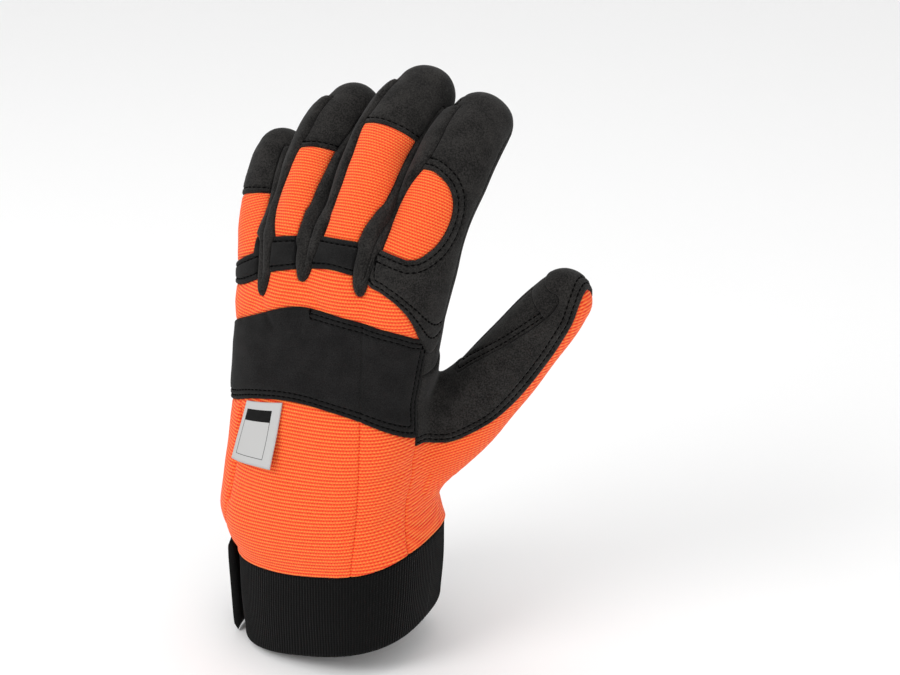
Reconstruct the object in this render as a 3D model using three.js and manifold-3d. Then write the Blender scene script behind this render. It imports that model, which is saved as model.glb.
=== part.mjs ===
import * as THREE from 'three';
import { mergeVertices } from 'three/addons/utils/BufferGeometryUtils.js';
import Module from 'manifold-3d';

const wasm = await Module();
wasm.setup();

// A left work glove worn on an open hand, in millimetres. Z goes from the wrist to the fingertips,
// -Y faces away from the back of the hand and +X is the thumb side. The origin is the middle of the wrist
// opening.

// Driving dimensions
const WRIST_WIDTH = 82;
const WRIST_DEPTH = 70;
const CUFF_HEIGHT = 37.5;
const CUFF_WALL = 2.4;
const KNUCKLE_WIDTH = 84;
const KNUCKLE_DEPTH = 40;
const HAND_HEIGHT = 135;
const HAND_DOME = 16;
const SHELL_WALL = 2;
const SEAM_GAP = 0.3;
const RIDGE_WIDTH = 5.4;
const RIDGE_RISE = 2.2;
const STRAP_HEIGHT = 37;
const STRAP_THICKNESS = 2.4;
const STRAP_STAND_OFF = 1.6;
const LABEL_THICKNESS = 0.8;
const LABEL_GAP = 0.4;
const LABEL_CURL = 1.6;

// The wrist is bent: the cuff leans, by a rise across and out, and the hand is upright again at LEAN_END
const LEAN_ACROSS = 0.17;
const LEAN_OUT = 0.085;
const LEAN_END = 0.5;

// Length, width and thickness of each digit of the glove
const DIGIT_SIZES = {
  index: { reach: 86, width: 28, thickness: 28 },
  middle: { reach: 89, width: 26.4, thickness: 27 },
  ring: { reach: 85, width: 24, thickness: 25 },
  pinky: { reach: 72, width: 22.4, thickness: 23 },
  thumb: { reach: 104, width: 30, thickness: 30 },
};

// Roundness of the sections and fineness of the facets
const SQUARENESS = 2.4;
const HAND_SIDES = 20;
const DIGIT_SIDES = 12;
const LINING_SIDES = 7;

// Hand sections: up is a share of HAND_HEIGHT, the sides are shares of half the local width or depth
const HAND_SECTIONS = [
  { up: 0, ulnar: 1.03, radial: 0.98, back: 0.985, palm: 1.0 },
  { up: 0.045, ulnar: 1.13, radial: 0.93, back: 1.035, palm: 1.05 },
  { up: 0.12, ulnar: 1.2, radial: 0.885, back: 1.085, palm: 1.1 },
  { up: 0.25, ulnar: 1.11, radial: 0.905, back: 1.105, palm: 1.025 },
  { up: 0.4, ulnar: 1.04, radial: 0.95, back: 1.12, palm: 1.0 },
  { up: 0.55, ulnar: 1.0, radial: 0.93, back: 1.14, palm: 0.955 },
  { up: 0.65, ulnar: 0.965, radial: 0.95, back: 1.14, palm: 0.89 },
  { up: 0.76, ulnar: 0.93, radial: 1.03, back: 1.145, palm: 0.805 },
  { up: 0.88, ulnar: 0.86, radial: 1.11, back: 1.145, palm: 0.69 },
  { up: 1.0, ulnar: 0.8, radial: 1.085, back: 1.05, palm: 0.55 },
];

// The domed top of the hand between the fingers: drop and inset are shares of HAND_DOME
const DOME_STEPS = [
  { drop: 0.5, inset: 0.09 },
  { drop: 0.25, inset: 0.25 },
  { drop: 0.06, inset: 0.56 },
  { drop: 0, inset: 0.84 },
];

// Each digit: its root as shares of half the knuckle width and depth and of HAND_HEIGHT, the way its width
// points, and its centre line, whose first three columns are shares of its reach and whose last two are
// shares of its half width and half thickness
const DIGIT_LINES = {
  index: {
    root: { across: 0.64, out: -0.15, up: 0.6 },
    side: [1, 0, 0],
    line: [
      { across: 0, out: 0, up: 0, wide: 0.9, thick: 1.21 },
      { across: 0.083, out: -0.047, up: 0.326, wide: 0.93, thick: 1.14 },
      { across: 0.138, out: 0.012, up: 0.58, wide: 0.93, thick: 1.02 },
      { across: 0.166, out: 0.15, up: 0.78, wide: 1.0, thick: 0.965 },
      { across: 0.187, out: 0.3, up: 0.925, wide: 0.99, thick: 0.915 },
      { across: 0.205, out: 0.42, up: 0.995, wide: 0.86, thick: 0.81 },
    ],
  },
  middle: {
    root: { across: 0.26, out: -0.2, up: 0.63 },
    side: [1, 0, 0],
    line: [
      { across: 0, out: 0, up: 0, wide: 0.985, thick: 1.26 },
      { across: 0.038, out: -0.056, up: 0.315, wide: 1.0, thick: 1.185 },
      { across: 0.042, out: 0, up: 0.56, wide: 1.015, thick: 1.06 },
      { across: 0.044, out: 0.14, up: 0.765, wide: 1.015, thick: 0.98 },
      { across: 0.07, out: 0.3, up: 0.92, wide: 0.985, thick: 0.92 },
      { across: 0.096, out: 0.44, up: 1.0, wide: 0.88, thick: 0.83 },
    ],
  },
  ring: {
    root: { across: -0.27, out: -0.15, up: 0.6 },
    side: [1, 0, 0],
    line: [
      { across: 0, out: 0, up: 0, wide: 0.96, thick: 1.28 },
      { across: 0.013, out: -0.06, up: 0.33, wide: 0.985, thick: 1.24 },
      { across: 0.011, out: 0, up: 0.59, wide: 1.015, thick: 1.09 },
      { across: 0.001, out: 0.13, up: 0.79, wide: 1.03, thick: 1.0 },
      { across: 0.013, out: 0.27, up: 0.93, wide: 1.0, thick: 0.945 },
      { across: 0.04, out: 0.37, up: 1.0, wide: 0.9, thick: 0.84 },
    ],
  },
  pinky: {
    root: { across: -0.56, out: -0.05, up: 0.56 },
    side: [1, 0, 0],
    line: [
      { across: 0, out: 0, up: 0, wide: 1.05, thick: 1.22 },
      { across: 0.028, out: -0.04, up: 0.305, wide: 1.2, thick: 1.235 },
      { across: -0.024, out: 0, up: 0.57, wide: 1.19, thick: 1.13 },
      { across: -0.109, out: 0.105, up: 0.78, wide: 1.17, thick: 1.03 },
      { across: -0.143, out: 0.215, up: 0.93, wide: 1, thick: 0.96 },
      { across: -0.16, out: 0.29, up: 1.0, wide: 0.86, thick: 0.835 },
    ],
  },
  thumb: {
    root: { across: 0.48, out: 0.5, up: 0.19 },
    side: [0.62, 0.35, -0.55],
    line: [
      { across: 0, out: 0, up: 0, wide: 0.85, thick: 0.85 },
      { across: 0.155, out: 0.04, up: 0.175, wide: 1.08, thick: 1.05 },
      { across: 0.325, out: 0.08, up: 0.375, wide: 1.0, thick: 1.02 },
      { across: 0.46, out: 0.105, up: 0.56, wide: 0.92, thick: 0.94 },
      { across: 0.565, out: 0.115, up: 0.7, wide: 0.83, thick: 0.85 },
      { across: 0.625, out: 0.115, up: 0.78, wide: 0.74, thick: 0.73 },
    ],
  },
};

// Seams on the back of the hand: across is a share of half the knuckle width, up a share of HAND_HEIGHT
const STRIP_BOTTOM = [
  { across: -0.95, up: 0.765 },
  { across: -0.69, up: 0.8 },
  { across: -0.34, up: 0.864 },
  { across: -0.1, up: 0.884 },
  { across: 0.33, up: 0.904 },
  { across: 0.62, up: 0.888 },
];
const BAND_TOP = [
  { across: -0.95, up: 0.645 },
  { across: -0.8, up: 0.683 },
  { across: -0.44, up: 0.737 },
  { across: -0.2, up: 0.768 },
  { across: 0.3, up: 0.775 },
  { across: 0.59, up: 0.759 },
  { across: 1.08, up: 0.7 },
];
const BAND_BOTTOM = [
  { across: -1.1, up: 0.4 },
  { across: -0.64, up: 0.466 },
  { across: -0.38, up: 0.49 },
  { across: 0.09, up: 0.5 },
  { across: 0.35, up: 0.487 },
  { across: 0.77, up: 0.434 },
  { across: 0.91, up: 0.398 },
  { across: 1, up: 0.355 },
];
const SIDE_PANEL_EDGE = [
  { across: 0.6, up: 0.98 },
  { across: 0.62, up: 0.88 },
  { across: 0.77, up: 0.856 },
  { across: 0.9, up: 0.83 },
  { across: 1.0, up: 0.787 },
  { across: 1.04, up: 0.72 },
  { across: 1.03, up: 0.6 },
];
const ULNAR_SEAM = [
  { across: -0.7, up: 0.5 },
  { across: -0.75, up: 0.36 },
  { across: -0.83, up: 0.19 },
  { across: -0.91, up: 0.1 },
  { across: -1, up: 0 },
];
const INNER_SEAM = [
  { across: 0.575, up: 0.5 },
  { across: 0.55, up: 0.18 },
  { across: 0.505, up: 0 },
];
// Seams on the thumb as shares of its reach from its root
const THUMB_PATCH_OUTER = [
  { across: 0.08, up: 0.235 },
  { across: 0.29, up: 0.242 },
  { across: 0.41, up: 0.305 },
  { across: 0.54, up: 0.45 },
  { across: 0.646, up: 0.635 },
  { across: 0.69, up: 0.72 },
  { across: 0.713, up: 0.8 },
  { across: 0.69, up: 0.95 },
];
const THUMB_PATCH_INNER = [
  { across: 0.5, up: 0.95 },
  { across: 0.56, up: 0.87 },
  { across: 0.65, up: 0.81 },
  { across: 0.644, up: 0.788 },
  { across: 0.607, up: 0.737 },
  { across: 0.48, up: 0.631 },
  { across: 0.32, up: 0.513 },
  { across: 0.255, up: 0.465 },
  { across: 0.22, up: 0.485 },
  { across: 0.08, up: 0.545 },
];

// Panels on the digits: t runs from root to tip. A panel on a finger's back begins at back and ends at tip,
// and both are given on the radial side, with the way to the ulnar side as slant
const FINGER_BACKS = {
  middle: { back: 0.334, backSlant: -0.002, tip: 0.71, tipSlant: -0.018 },
  ring: { back: 0.368, backSlant: -0.058, tip: 0.668, tipSlant: -0.058 },
  pinky: { back: 0.46, backSlant: -0.115, tip: 0.575, tipSlant: 0.075 },
};
// Rows along a digit's line: from and to are degrees round it, 0 its radial side, 90 its back and 180 its
// ulnar side
const INDEX_PATCH = [
  { t: 0.333, from: 76, to: 128 },
  { t: 0.367, from: 50, to: 138 },
  { t: 0.41, from: 36, to: 146 },
  { t: 0.463, from: 30, to: 148 },
  { t: 0.51, from: 34, to: 142 },
  { t: 0.56, from: 50, to: 131 },
  { t: 0.606, from: 92, to: 112 },
];

// Side walls between two fingers, the rolled edges beside them, and the tongue where those edges meet on the
// back of the hand
const FOURCHETTES = {
  ring_pinky: {
    ulnar: {
      digit: 'pinky',
      edge: [
        { t: 0.9, at: 52 },
        { t: 0.7, at: 58 },
        { t: 0.55, at: 64 },
        { t: 0.4, at: 72 },
      ],
    },
    radial: {
      digit: 'ring',
      edge: [
        { t: 0.9, at: 124 },
        { t: 0.66, at: 122 },
        { t: 0.5, at: 138 },
        { t: 0.38, at: 138 },
      ],
    },
    tongue: { across: -0.46, up: 0.8 },
  },
  middle_ring: {
    ulnar: {
      digit: 'ring',
      edge: [
        { t: 0.9, at: 38 },
        { t: 0.66, at: 38 },
        { t: 0.5, at: 44 },
        { t: 0.38, at: 48 },
      ],
    },
    radial: {
      digit: 'middle',
      edge: [
        { t: 0.9, at: 148 },
        { t: 0.7, at: 148 },
        { t: 0.52, at: 144 },
        { t: 0.38, at: 138 },
      ],
    },
    tongue: { across: -0.01, up: 0.865 },
  },
  index_middle: {
    ulnar: {
      digit: 'middle',
      edge: [
        { t: 0.9, at: 22 },
        { t: 0.7, at: 28 },
        { t: 0.52, at: 40 },
        { t: 0.38, at: 50 },
      ],
    },
    radial: {
      digit: 'index',
      edge: [
        { t: 0.9, at: 138 },
        { t: 0.7, at: 134 },
        { t: 0.52, at: 138 },
        { t: 0.38, at: 140 },
      ],
    },
    tongue: { across: 0.56, up: 0.85 },
  },
};
// The index panel goes round the index finger and over its tip, whose rounding is past t = 1
const WRAP_BEHIND = 20;
const TIP_END = 1.2;
const wrapped = (t) => ({ t, from: -WRAP_BEHIND, to: 180 + WRAP_BEHIND });
const INDEX_WRAP = [0.25, 0.33, 0.42, 0.52, 0.64, 0.8, 1, TIP_END].map(wrapped);
const THUMB_WALL = [0.34, 0.45, 0.6, 0.75, 0.9].map((t) => ({ t, from: 95, to: 190 }));
const PANEL_BEHIND = -0.02;
const WEB_START = 0.44;
const WEB_END = 0.93;
const WEB_BACK = 0.64;
const WEB_PALM = 0.55;

const HEM = CUFF_HEIGHT;
const SIDE_SHARE = -0.28;
const SIDE_LEAN = -0.1;
const FAR = WRIST_WIDTH;

const mix = (a, b, t) => a + (b - a) * t;
const halfWidth = (up) => mix(WRIST_WIDTH, KNUCKLE_WIDTH, up) / 2;
const halfDepth = (up) => mix(WRIST_DEPTH, KNUCKLE_DEPTH, up) / 2;
const heightAt = (up) => HEM + up * HAND_HEIGHT;

// Closed solid through rings of points, all with the same count, its ends closed by fans
function loft(rings) {
  const count = rings[0].length;
  const points = rings.flat();
  const triangles = [];
  for (let k = 0; k + 1 < rings.length; k += 1) {
    for (let i = 0; i < count; i += 1) {
      const a = k * count + i;
      const b = k * count + ((i + 1) % count);
      triangles.push([a, b, b + count], [a, b + count, a + count]);
    }
  }
  for (const [start, flip] of [[0, true], [(rings.length - 1) * count, false]]) {
    const middle = new THREE.Vector3();
    for (let i = 0; i < count; i += 1) {
      middle.addScaledVector(points[start + i], 1 / count);
    }
    const centre = points.push(middle) - 1;
    for (let i = 0; i < count; i += 1) {
      const a = start + i;
      const b = start + ((i + 1) % count);
      triangles.push(flip ? [b, a, centre] : [a, b, centre]);
    }
  }
  return toSolid(points, triangles);
}

function toSolid(points, triangles) {
  let volume = 0;
  for (const [a, b, c] of triangles) {
    volume += points[a].dot(new THREE.Vector3().crossVectors(points[b], points[c]));
  }
  const turned = volume < 0 ? triangles.map(([a, b, c]) => [a, c, b]) : triangles;
  let geometry = new THREE.BufferGeometry();
  const numbers = points.flatMap((p) => p.toArray());
  geometry.setAttribute('position', new THREE.Float32BufferAttribute(numbers, 3));
  geometry.setIndex(turned.flat());
  geometry = mergeVertices(geometry, 1e-4);
  const mesh = new wasm.Mesh({
    numProp: 3,
    vertProperties: geometry.attributes.position.array,
    triVerts: Uint32Array.from(geometry.index.array),
  });
  return new wasm.Manifold(mesh);
}

// The largest body of a solid
function largest(solid) {
  const bodies = solid.decompose();
  return bodies.reduce((best, body) => (body.volume() > best.volume() ? body : best));
}

// The hand's section at a height, as centre and half sizes
function handSection(up) {
  let k = 0;
  while (k < HAND_SECTIONS.length - 2 && up > HAND_SECTIONS[k + 1].up) {
    k += 1;
  }
  const low = HAND_SECTIONS[k];
  const high = HAND_SECTIONS[k + 1];
  const t = (up - low.up) / (high.up - low.up);
  const at = (name) => mix(low[name], high[name], t);
  const w = halfWidth(up);
  const d = halfDepth(up);
  return {
    x: (w * (at('radial') - at('ulnar'))) / 2,
    y: (d * (at('palm') - at('back'))) / 2,
    a: (w * (at('radial') + at('ulnar'))) / 2,
    b: (d * (at('palm') + at('back'))) / 2,
  };
}

// A point lifted or lowered by the lean of the cuff
function leaned(x, y, z) {
  const share = THREE.MathUtils.clamp(z / heightAt(LEAN_END), 0, 1);
  return new THREE.Vector3(x, y, z + (1 - share) * (LEAN_ACROSS * x + LEAN_OUT * y));
}

function sectionRing({ x, y, a, b }, z, inset, sides) {
  const ring = [];
  for (let i = 0; i < sides; i += 1) {
    const angle = (2 * Math.PI * i) / sides;
    const c = Math.cos(angle);
    const s = Math.sin(angle);
    const bend = (v) => Math.sign(v) * Math.abs(v) ** (2 / SQUARENESS);
    ring.push(leaned(x + (a - inset) * bend(c), y + (b - inset) * bend(s), z));
  }
  return ring;
}

// The hand as a loft, inset by a wall and begun at a height below or at the hem
function handSolid(inset, begin, sides) {
  const rings = [];
  const domeStart = HAND_HEIGHT - HAND_DOME;
  const rows = HAND_SECTIONS.filter((row) => row.up * HAND_HEIGHT <= domeStart);
  if (begin < HEM) {
    rings.push(sectionRing(handSection(0), begin, inset, sides));
  }
  for (const row of rows) {
    rings.push(sectionRing(handSection(row.up), Math.max(begin, heightAt(row.up)), inset, sides));
  }
  for (const step of DOME_STEPS) {
    const up = 1 - (step.drop * HAND_DOME) / HAND_HEIGHT;
    const section = handSection(up);
    const pull = Math.min(inset + step.inset * HAND_DOME, section.b - SHELL_WALL / 4);
    rings.push(sectionRing(section, heightAt(up) - inset, pull, sides));
  }
  return loft(rings);
}

// A point on the back of the hand, lifted off it
function onBack(across, up, lift) {
  const { x, y, a, b } = handSection(up);
  const px = across * halfWidth(up);
  const u = Math.min(0.98, Math.abs((px - x) / a));
  const depth = b * (1 - u ** SQUARENESS) ** (1 / SQUARENESS);
  return new THREE.Vector3(px, y - depth - lift, heightAt(up));
}

// Centre line, half sizes and frame of a digit
const digits = {};
for (const [name, { root, side, line }] of Object.entries(DIGIT_LINES)) {
  const { reach, width, thickness } = DIGIT_SIZES[name];
  const start = new THREE.Vector3(
    root.across * KNUCKLE_WIDTH / 2,
    root.out * KNUCKLE_DEPTH / 2,
    heightAt(root.up),
  );
  const centres = line.map((row) => (
    new THREE.Vector3(row.across, row.out, row.up).multiplyScalar(reach).add(start)
  ));
  const curve = new THREE.CatmullRomCurve3(centres, false, 'catmullrom', 0.5);
  digits[name] = {
    reach,
    start,
    at(t) {
      const k = Math.min(Math.floor(t * (line.length - 1)), line.length - 2);
      const part = Math.min(t * (line.length - 1) - k, 1);
      const centre = curve.getPoint(Math.min(t, 1));
      const along = curve.getTangent(Math.min(t, 1));
      const radial = new THREE.Vector3(...side);
      radial.addScaledVector(along, -radial.dot(along)).normalize();
      return {
        centre,
        along,
        radial,
        palmar: new THREE.Vector3().crossVectors(along, radial),
        a: (mix(line[k].wide, line[k + 1].wide, part) * width) / 2,
        b: (mix(line[k].thick, line[k + 1].thick, part) * thickness) / 2,
      };
    },
  };
}

// A point of a digit: angle 0 is its radial side, 90 degrees its back; scale 1 is on the surface
function onDigit(name, t, degrees, scale) {
  const { centre, along, radial, palmar, a, b } = digits[name].at(t);
  const angle = THREE.MathUtils.degToRad(degrees);
  const beyond = Math.max(t - 1, 0) * digits[name].reach;
  const tip = Math.min(a, b);
  const shrink = Math.sqrt(Math.max(1 - (beyond / tip) ** 2, 0));
  return centre.clone()
    .addScaledVector(radial, a * scale * shrink * Math.cos(angle))
    .addScaledVector(palmar, -b * scale * shrink * Math.sin(angle))
    .addScaledVector(along, beyond);
}

function digitSolid(name, inset, sides) {
  const stations = [0, 0.2, 0.35, 0.5, 0.65, 0.8, 1];
  const rings = [];
  const ringAt = (t, shrink, beyond) => {
    const { centre, along, radial, palmar, a, b } = digits[name].at(t);
    const ring = [];
    for (let i = 0; i < sides; i += 1) {
      const angle = (2 * Math.PI * i) / sides;
      ring.push(centre.clone()
        .addScaledVector(radial, (a - inset) * shrink * Math.cos(angle))
        .addScaledVector(palmar, (b - inset) * shrink * Math.sin(angle))
        .addScaledVector(along, beyond * (Math.min(a, b) - inset)));
    }
    return ring;
  };
  for (const t of stations) {
    rings.push(ringAt(t, 1, 0));
  }
  for (const degrees of [35, 68]) {
    const angle = THREE.MathUtils.degToRad(degrees);
    rings.push(ringAt(1, Math.cos(angle), Math.sin(angle)));
  }
  return loft(rings);
}

const digitNames = Object.keys(DIGIT_LINES);
const join = (solids) => solids.reduce((all, next) => all.add(next));
const outerDigits = digitNames.map((name) => digitSolid(name, 0, DIGIT_SIDES));
const innerDigits = digitNames.map((name) => digitSolid(name, SHELL_WALL, LINING_SIDES));
const outer = join([handSolid(0, HEM + SEAM_GAP, HAND_SIDES), ...outerDigits]);
const inner = join([handSolid(SHELL_WALL, HEM - CUFF_HEIGHT / 2, 2 * LINING_SIDES), ...innerDigits]);
let rest = outer.subtract(inner);

// Cutters. Each takes grow, which is half a seam gap outward for what is left and inward for the piece
const HALF_GAP = SEAM_GAP / 2;
const SECTOR_REACH = 1.12;
const BACK_BEHIND = 5;

// A slice of a digit between angles, from its core to beyond its surface
function sector(name, rows, grow) {
  const arcSteps = 4;
  const rings = rows.map((row, k) => {
    const { a } = digits[name].at(row.t);
    const turn = THREE.MathUtils.radToDeg(grow / a);
    const push = (grow / digits[name].reach) * (k === 0 ? -1 : k === rows.length - 1 ? 1 : 0);
    const ring = [];
    for (let i = 0; i <= arcSteps; i += 1) {
      const degrees = mix(row.from - turn, row.to + turn, i / arcSteps);
      const t = row.t + push + ((row.slant ?? 0) * i) / arcSteps;
      const { centre, radial, palmar, a: w, b: d, along } = digits[name].at(t);
      const angle = THREE.MathUtils.degToRad(degrees);
      ring.push(centre.clone()
        .addScaledVector(radial, w * SECTOR_REACH * Math.cos(angle))
        .addScaledVector(palmar, -d * SECTOR_REACH * Math.sin(angle))
        .addScaledVector(along, Math.max(t - 1, 0) * digits[name].reach));
    }
    const core = row.t + push + (row.slant ?? 0) / 2;
    const { centre, along } = digits[name].at(core);
    ring.push(centre.clone().addScaledVector(along, Math.max(core - 1, 0) * digits[name].reach));
    return ring;
  });
  return loft(rings);
}

// A prism through the back of the glove: an outline in X and Z carried along Y
function prism(outline, grow, behind) {
  const count = outline.length;
  const area = outline.reduce((sum, [x, z], i) => {
    const [nx, nz] = outline[(i + 1) % count];
    return sum + x * nz - nx * z;
  }, 0);
  const turn = area > 0 ? 1 : -1;
  const moved = outline.map(([x, z], i) => {
    const [px, pz] = outline[(i + count - 1) % count];
    const [nx, nz] = outline[(i + 1) % count];
    const before = new THREE.Vector2(x - px, z - pz).normalize();
    const after = new THREE.Vector2(nx - x, nz - z).normalize();
    const normal = new THREE.Vector2(before.y + after.y, -before.x - after.x).normalize();
    const spread = grow / Math.max(0.5, normal.dot(new THREE.Vector2(before.y, -before.x)));
    return [x + turn * normal.x * spread, z + turn * normal.y * spread];
  });
  const face = (depth) => moved.map(([x, z]) => new THREE.Vector3(x, depth(x), z));
  return loft([face(() => -FAR), face((x) => behind(x) + grow)]);
}

const backPoints = (rows) => rows.map(({ across, up }) => [across * halfWidth(up), heightAt(up)]);
const thumbPoints = (rows) => rows.map(({ across, up }) => {
  const { reach, start } = digits.thumb;
  return [start.x + across * reach, start.z + up * reach];
});

const pieces = {};
function take(name, cutter, extra) {
  const hole = cutter(HALF_GAP);
  const body = rest.intersect(cutter(-HALF_GAP)).intersect(hole);
  pieces[name] = largest(extra ? join([largest(body), ...extra(0)]) : body);
  rest = rest.subtract(hole);
  if (extra) {
    rest = rest.subtract(join(extra(SEAM_GAP)));
  }
}

// Side wall between two neighbouring fingers: a slab from one centre line to the other
function web(ulnarName, radialName, grow) {
  const rings = [];
  const steps = 4;
  for (let k = 0; k <= steps; k += 1) {
    const t = mix(WEB_START, WEB_END, k / steps);
    const push = k === 0 ? -grow : k === steps ? grow : 0;
    const corner = (name, share, sign) => {
      const { centre, palmar, along, b } = digits[name].at(t);
      return centre.clone().addScaledVector(palmar, share * b + sign * grow).addScaledVector(along, push);
    };
    rings.push([
      corner(ulnarName, WEB_PALM, 1),
      corner(radialName, WEB_PALM, 1),
      corner(radialName, -WEB_BACK, -1),
      corner(ulnarName, -WEB_BACK, -1),
    ]);
  }
  return loft(rings);
}

// A rolled edge: a flat tube laid on the surface from a fingertip to the end of the tongue
function rolledEdge({ digit, edge }, tongue, lean, grow) {
  const sunk = 0.18 * RIDGE_RISE;
  const stops = edge.map(({ t, at }) => {
    const { centre } = digits[digit].at(t);
    const point = onDigit(digit, t, at, 1);
    const normal = point.clone().sub(centre).normalize();
    return { point: point.addScaledVector(normal, sunk), normal };
  });
  const shift = (lean * RIDGE_WIDTH * 0.25) / (KNUCKLE_WIDTH / 2);
  for (const { up, close } of [{ up: 0.55, close: 1 }, { up: 0, close: 0.6 }]) {
    const height = mix(tongue.up, (stops[edge.length - 1].point.z - HEM) / HAND_HEIGHT, up);
    const point = onBack(tongue.across + shift * close, height, sunk);
    stops.push({ point, normal: new THREE.Vector3(0, -1, 0) });
  }
  const curve = new THREE.CatmullRomCurve3(stops.map((stop) => stop.point));
  const rings = [];
  const steps = 8;
  for (let k = 0; k <= steps; k += 1) {
    const t = k / steps;
    const place = t * (stops.length - 1);
    const low = Math.min(Math.floor(place), stops.length - 2);
    const normal = stops[low].normal.clone().lerp(stops[low + 1].normal, place - low);
    const along = curve.getTangent(t);
    normal.addScaledVector(along, -normal.dot(along)).normalize();
    const across = new THREE.Vector3().crossVectors(along, normal);
    const taper = k === 0 ? 0.4 : k === steps ? 0.45 : 1;
    const push = k === 0 ? -grow : k === steps ? grow : 0;
    const ring = [];
    for (let i = 0; i < 6; i += 1) {
      const angle = (Math.PI * i) / 3;
      ring.push(curve.getPoint(t)
        .addScaledVector(across, (RIDGE_WIDTH / 2 * taper + grow) * Math.cos(angle))
        .addScaledVector(normal, (RIDGE_RISE * taper + grow) * Math.sin(angle))
        .addScaledVector(along, push));
    }
    rings.push(ring);
  }
  return loft(rings);
}

for (const [name, { ulnar, radial, tongue }] of Object.entries(FOURCHETTES)) {
  take(
    `fourchette_${name}`,
    (grow) => web(ulnar.digit, radial.digit, grow),
    (grow) => [rolledEdge(ulnar, tongue, -1, grow), rolledEdge(radial, tongue, 1, grow)],
  );
}

take('index_patch', (grow) => sector('index', INDEX_PATCH, grow));
for (const [name, { back, backSlant, tip, tipSlant }] of Object.entries(FINGER_BACKS)) {
  const row = (t, slant) => ({ t, slant, from: -BACK_BEHIND, to: 180 + BACK_BEHIND });
  const wrap = [row(tip, tipSlant), row(WEB_END, 0), wrapped(1), wrapped(TIP_END)];
  take(`${name}_tip`, (grow) => sector(name, wrap, grow));
  const shares = [0, 1 / 3, 2 / 3, 1];
  const rows = shares.map((share) => row(mix(back, tip, share), mix(backSlant, tipSlant, share)));
  take(`${name}_back`, (grow) => sector(name, rows, grow));
}

// Everything on the back of the hand above a seam, as far as the side of the hand
const TOP = heightAt(1) + DIGIT_SIZES.middle.reach;
const sideOfHand = (x) => (SIDE_SHARE * KNUCKLE_DEPTH) / 2 + SIDE_LEAN * x;
const sideOfThumb = () => digits.thumb.at(0.6).centre.y;
const above = (seam) => {
  const points = backPoints(seam);
  const [firstX, firstZ] = points[0];
  const [lastX, lastZ] = points[points.length - 1];
  return [[firstX - FAR, firstZ], ...points, [lastX + FAR, lastZ], [lastX + FAR, TOP], [firstX - FAR, TOP]];
};
const besideEdge = [...backPoints(SIDE_PANEL_EDGE), [FAR, heightAt(SIDE_PANEL_EDGE.at(-1).up)], [FAR, TOP]];
besideEdge.push([backPoints(SIDE_PANEL_EDGE)[0][0], TOP]);
take(
  'index_side_panel',
  (grow) => {
    const beside = prism(besideEdge, grow, () => PANEL_BEHIND * KNUCKLE_DEPTH);
    return beside.add(sector('index', INDEX_WRAP, grow));
  },
);
take('knuckle_strip', (grow) => prism(above(STRIP_BOTTOM), grow, sideOfHand));
take('hand_back_upper', (grow) => prism(above(BAND_TOP), grow, sideOfHand));
take('hand_band', (grow) => prism(above(BAND_BOTTOM), grow, sideOfHand));

// Below the band, the orange back is parted by an ulnar and an inner seam
const ulnarSeam = backPoints(ULNAR_SEAM);
const innerSeam = backPoints(INNER_SEAM);
const bandUp = heightAt(BAND_TOP[0].up);
const beyond = (seam, side) => [
  [seam[0][0], bandUp],
  ...seam,
  [seam.at(-1)[0], 0],
  [side * FAR, 0],
  [side * FAR, bandUp],
];
take('side_gusset', (grow) => prism(beyond(ulnarSeam, -1), grow, sideOfHand));
take('hand_back_inner', (grow) => prism(beyond(innerSeam, 1), grow, sideOfHand));
take('hand_back_lower', (grow) => prism(beyond(ulnarSeam, 1), grow, sideOfHand));

// The thumb: the patch between its two seams, the orange edge outside it and the black wall inside it
const patchOuter = thumbPoints(THUMB_PATCH_OUTER);
const patchInner = thumbPoints(THUMB_PATCH_INNER);
take('thumb_patch', (grow) => prism([...patchOuter, ...patchInner], grow, sideOfThumb));
take('thumb_gusset', (grow) => prism(
  [...patchOuter, [FAR * 2, TOP], [FAR * 2, 0], [patchOuter[0][0], 0]],
  grow,
  sideOfThumb,
));
take('thumb_inner', (grow) => sector('thumb', THUMB_WALL, grow));
pieces.palm = largest(rest);

// The knit cuff, flush with the hem
const cuffSection = (outset) => {
  const section = handSection(0);
  return { ...section, a: section.a + outset, b: section.b + outset };
};
function cuffSolid() {
  const ringAt = (z, inset) => sectionRing(cuffSection(0), z, inset, HAND_SIDES);
  const outside = loft([ringAt(0, 0), ringAt(CUFF_HEIGHT, 0)]);
  return outside.subtract(loft([ringAt(-CUFF_HEIGHT, CUFF_WALL), ringAt(2 * CUFF_HEIGHT, CUFF_WALL)]));
}
pieces.cuff = cuffSolid();

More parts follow.
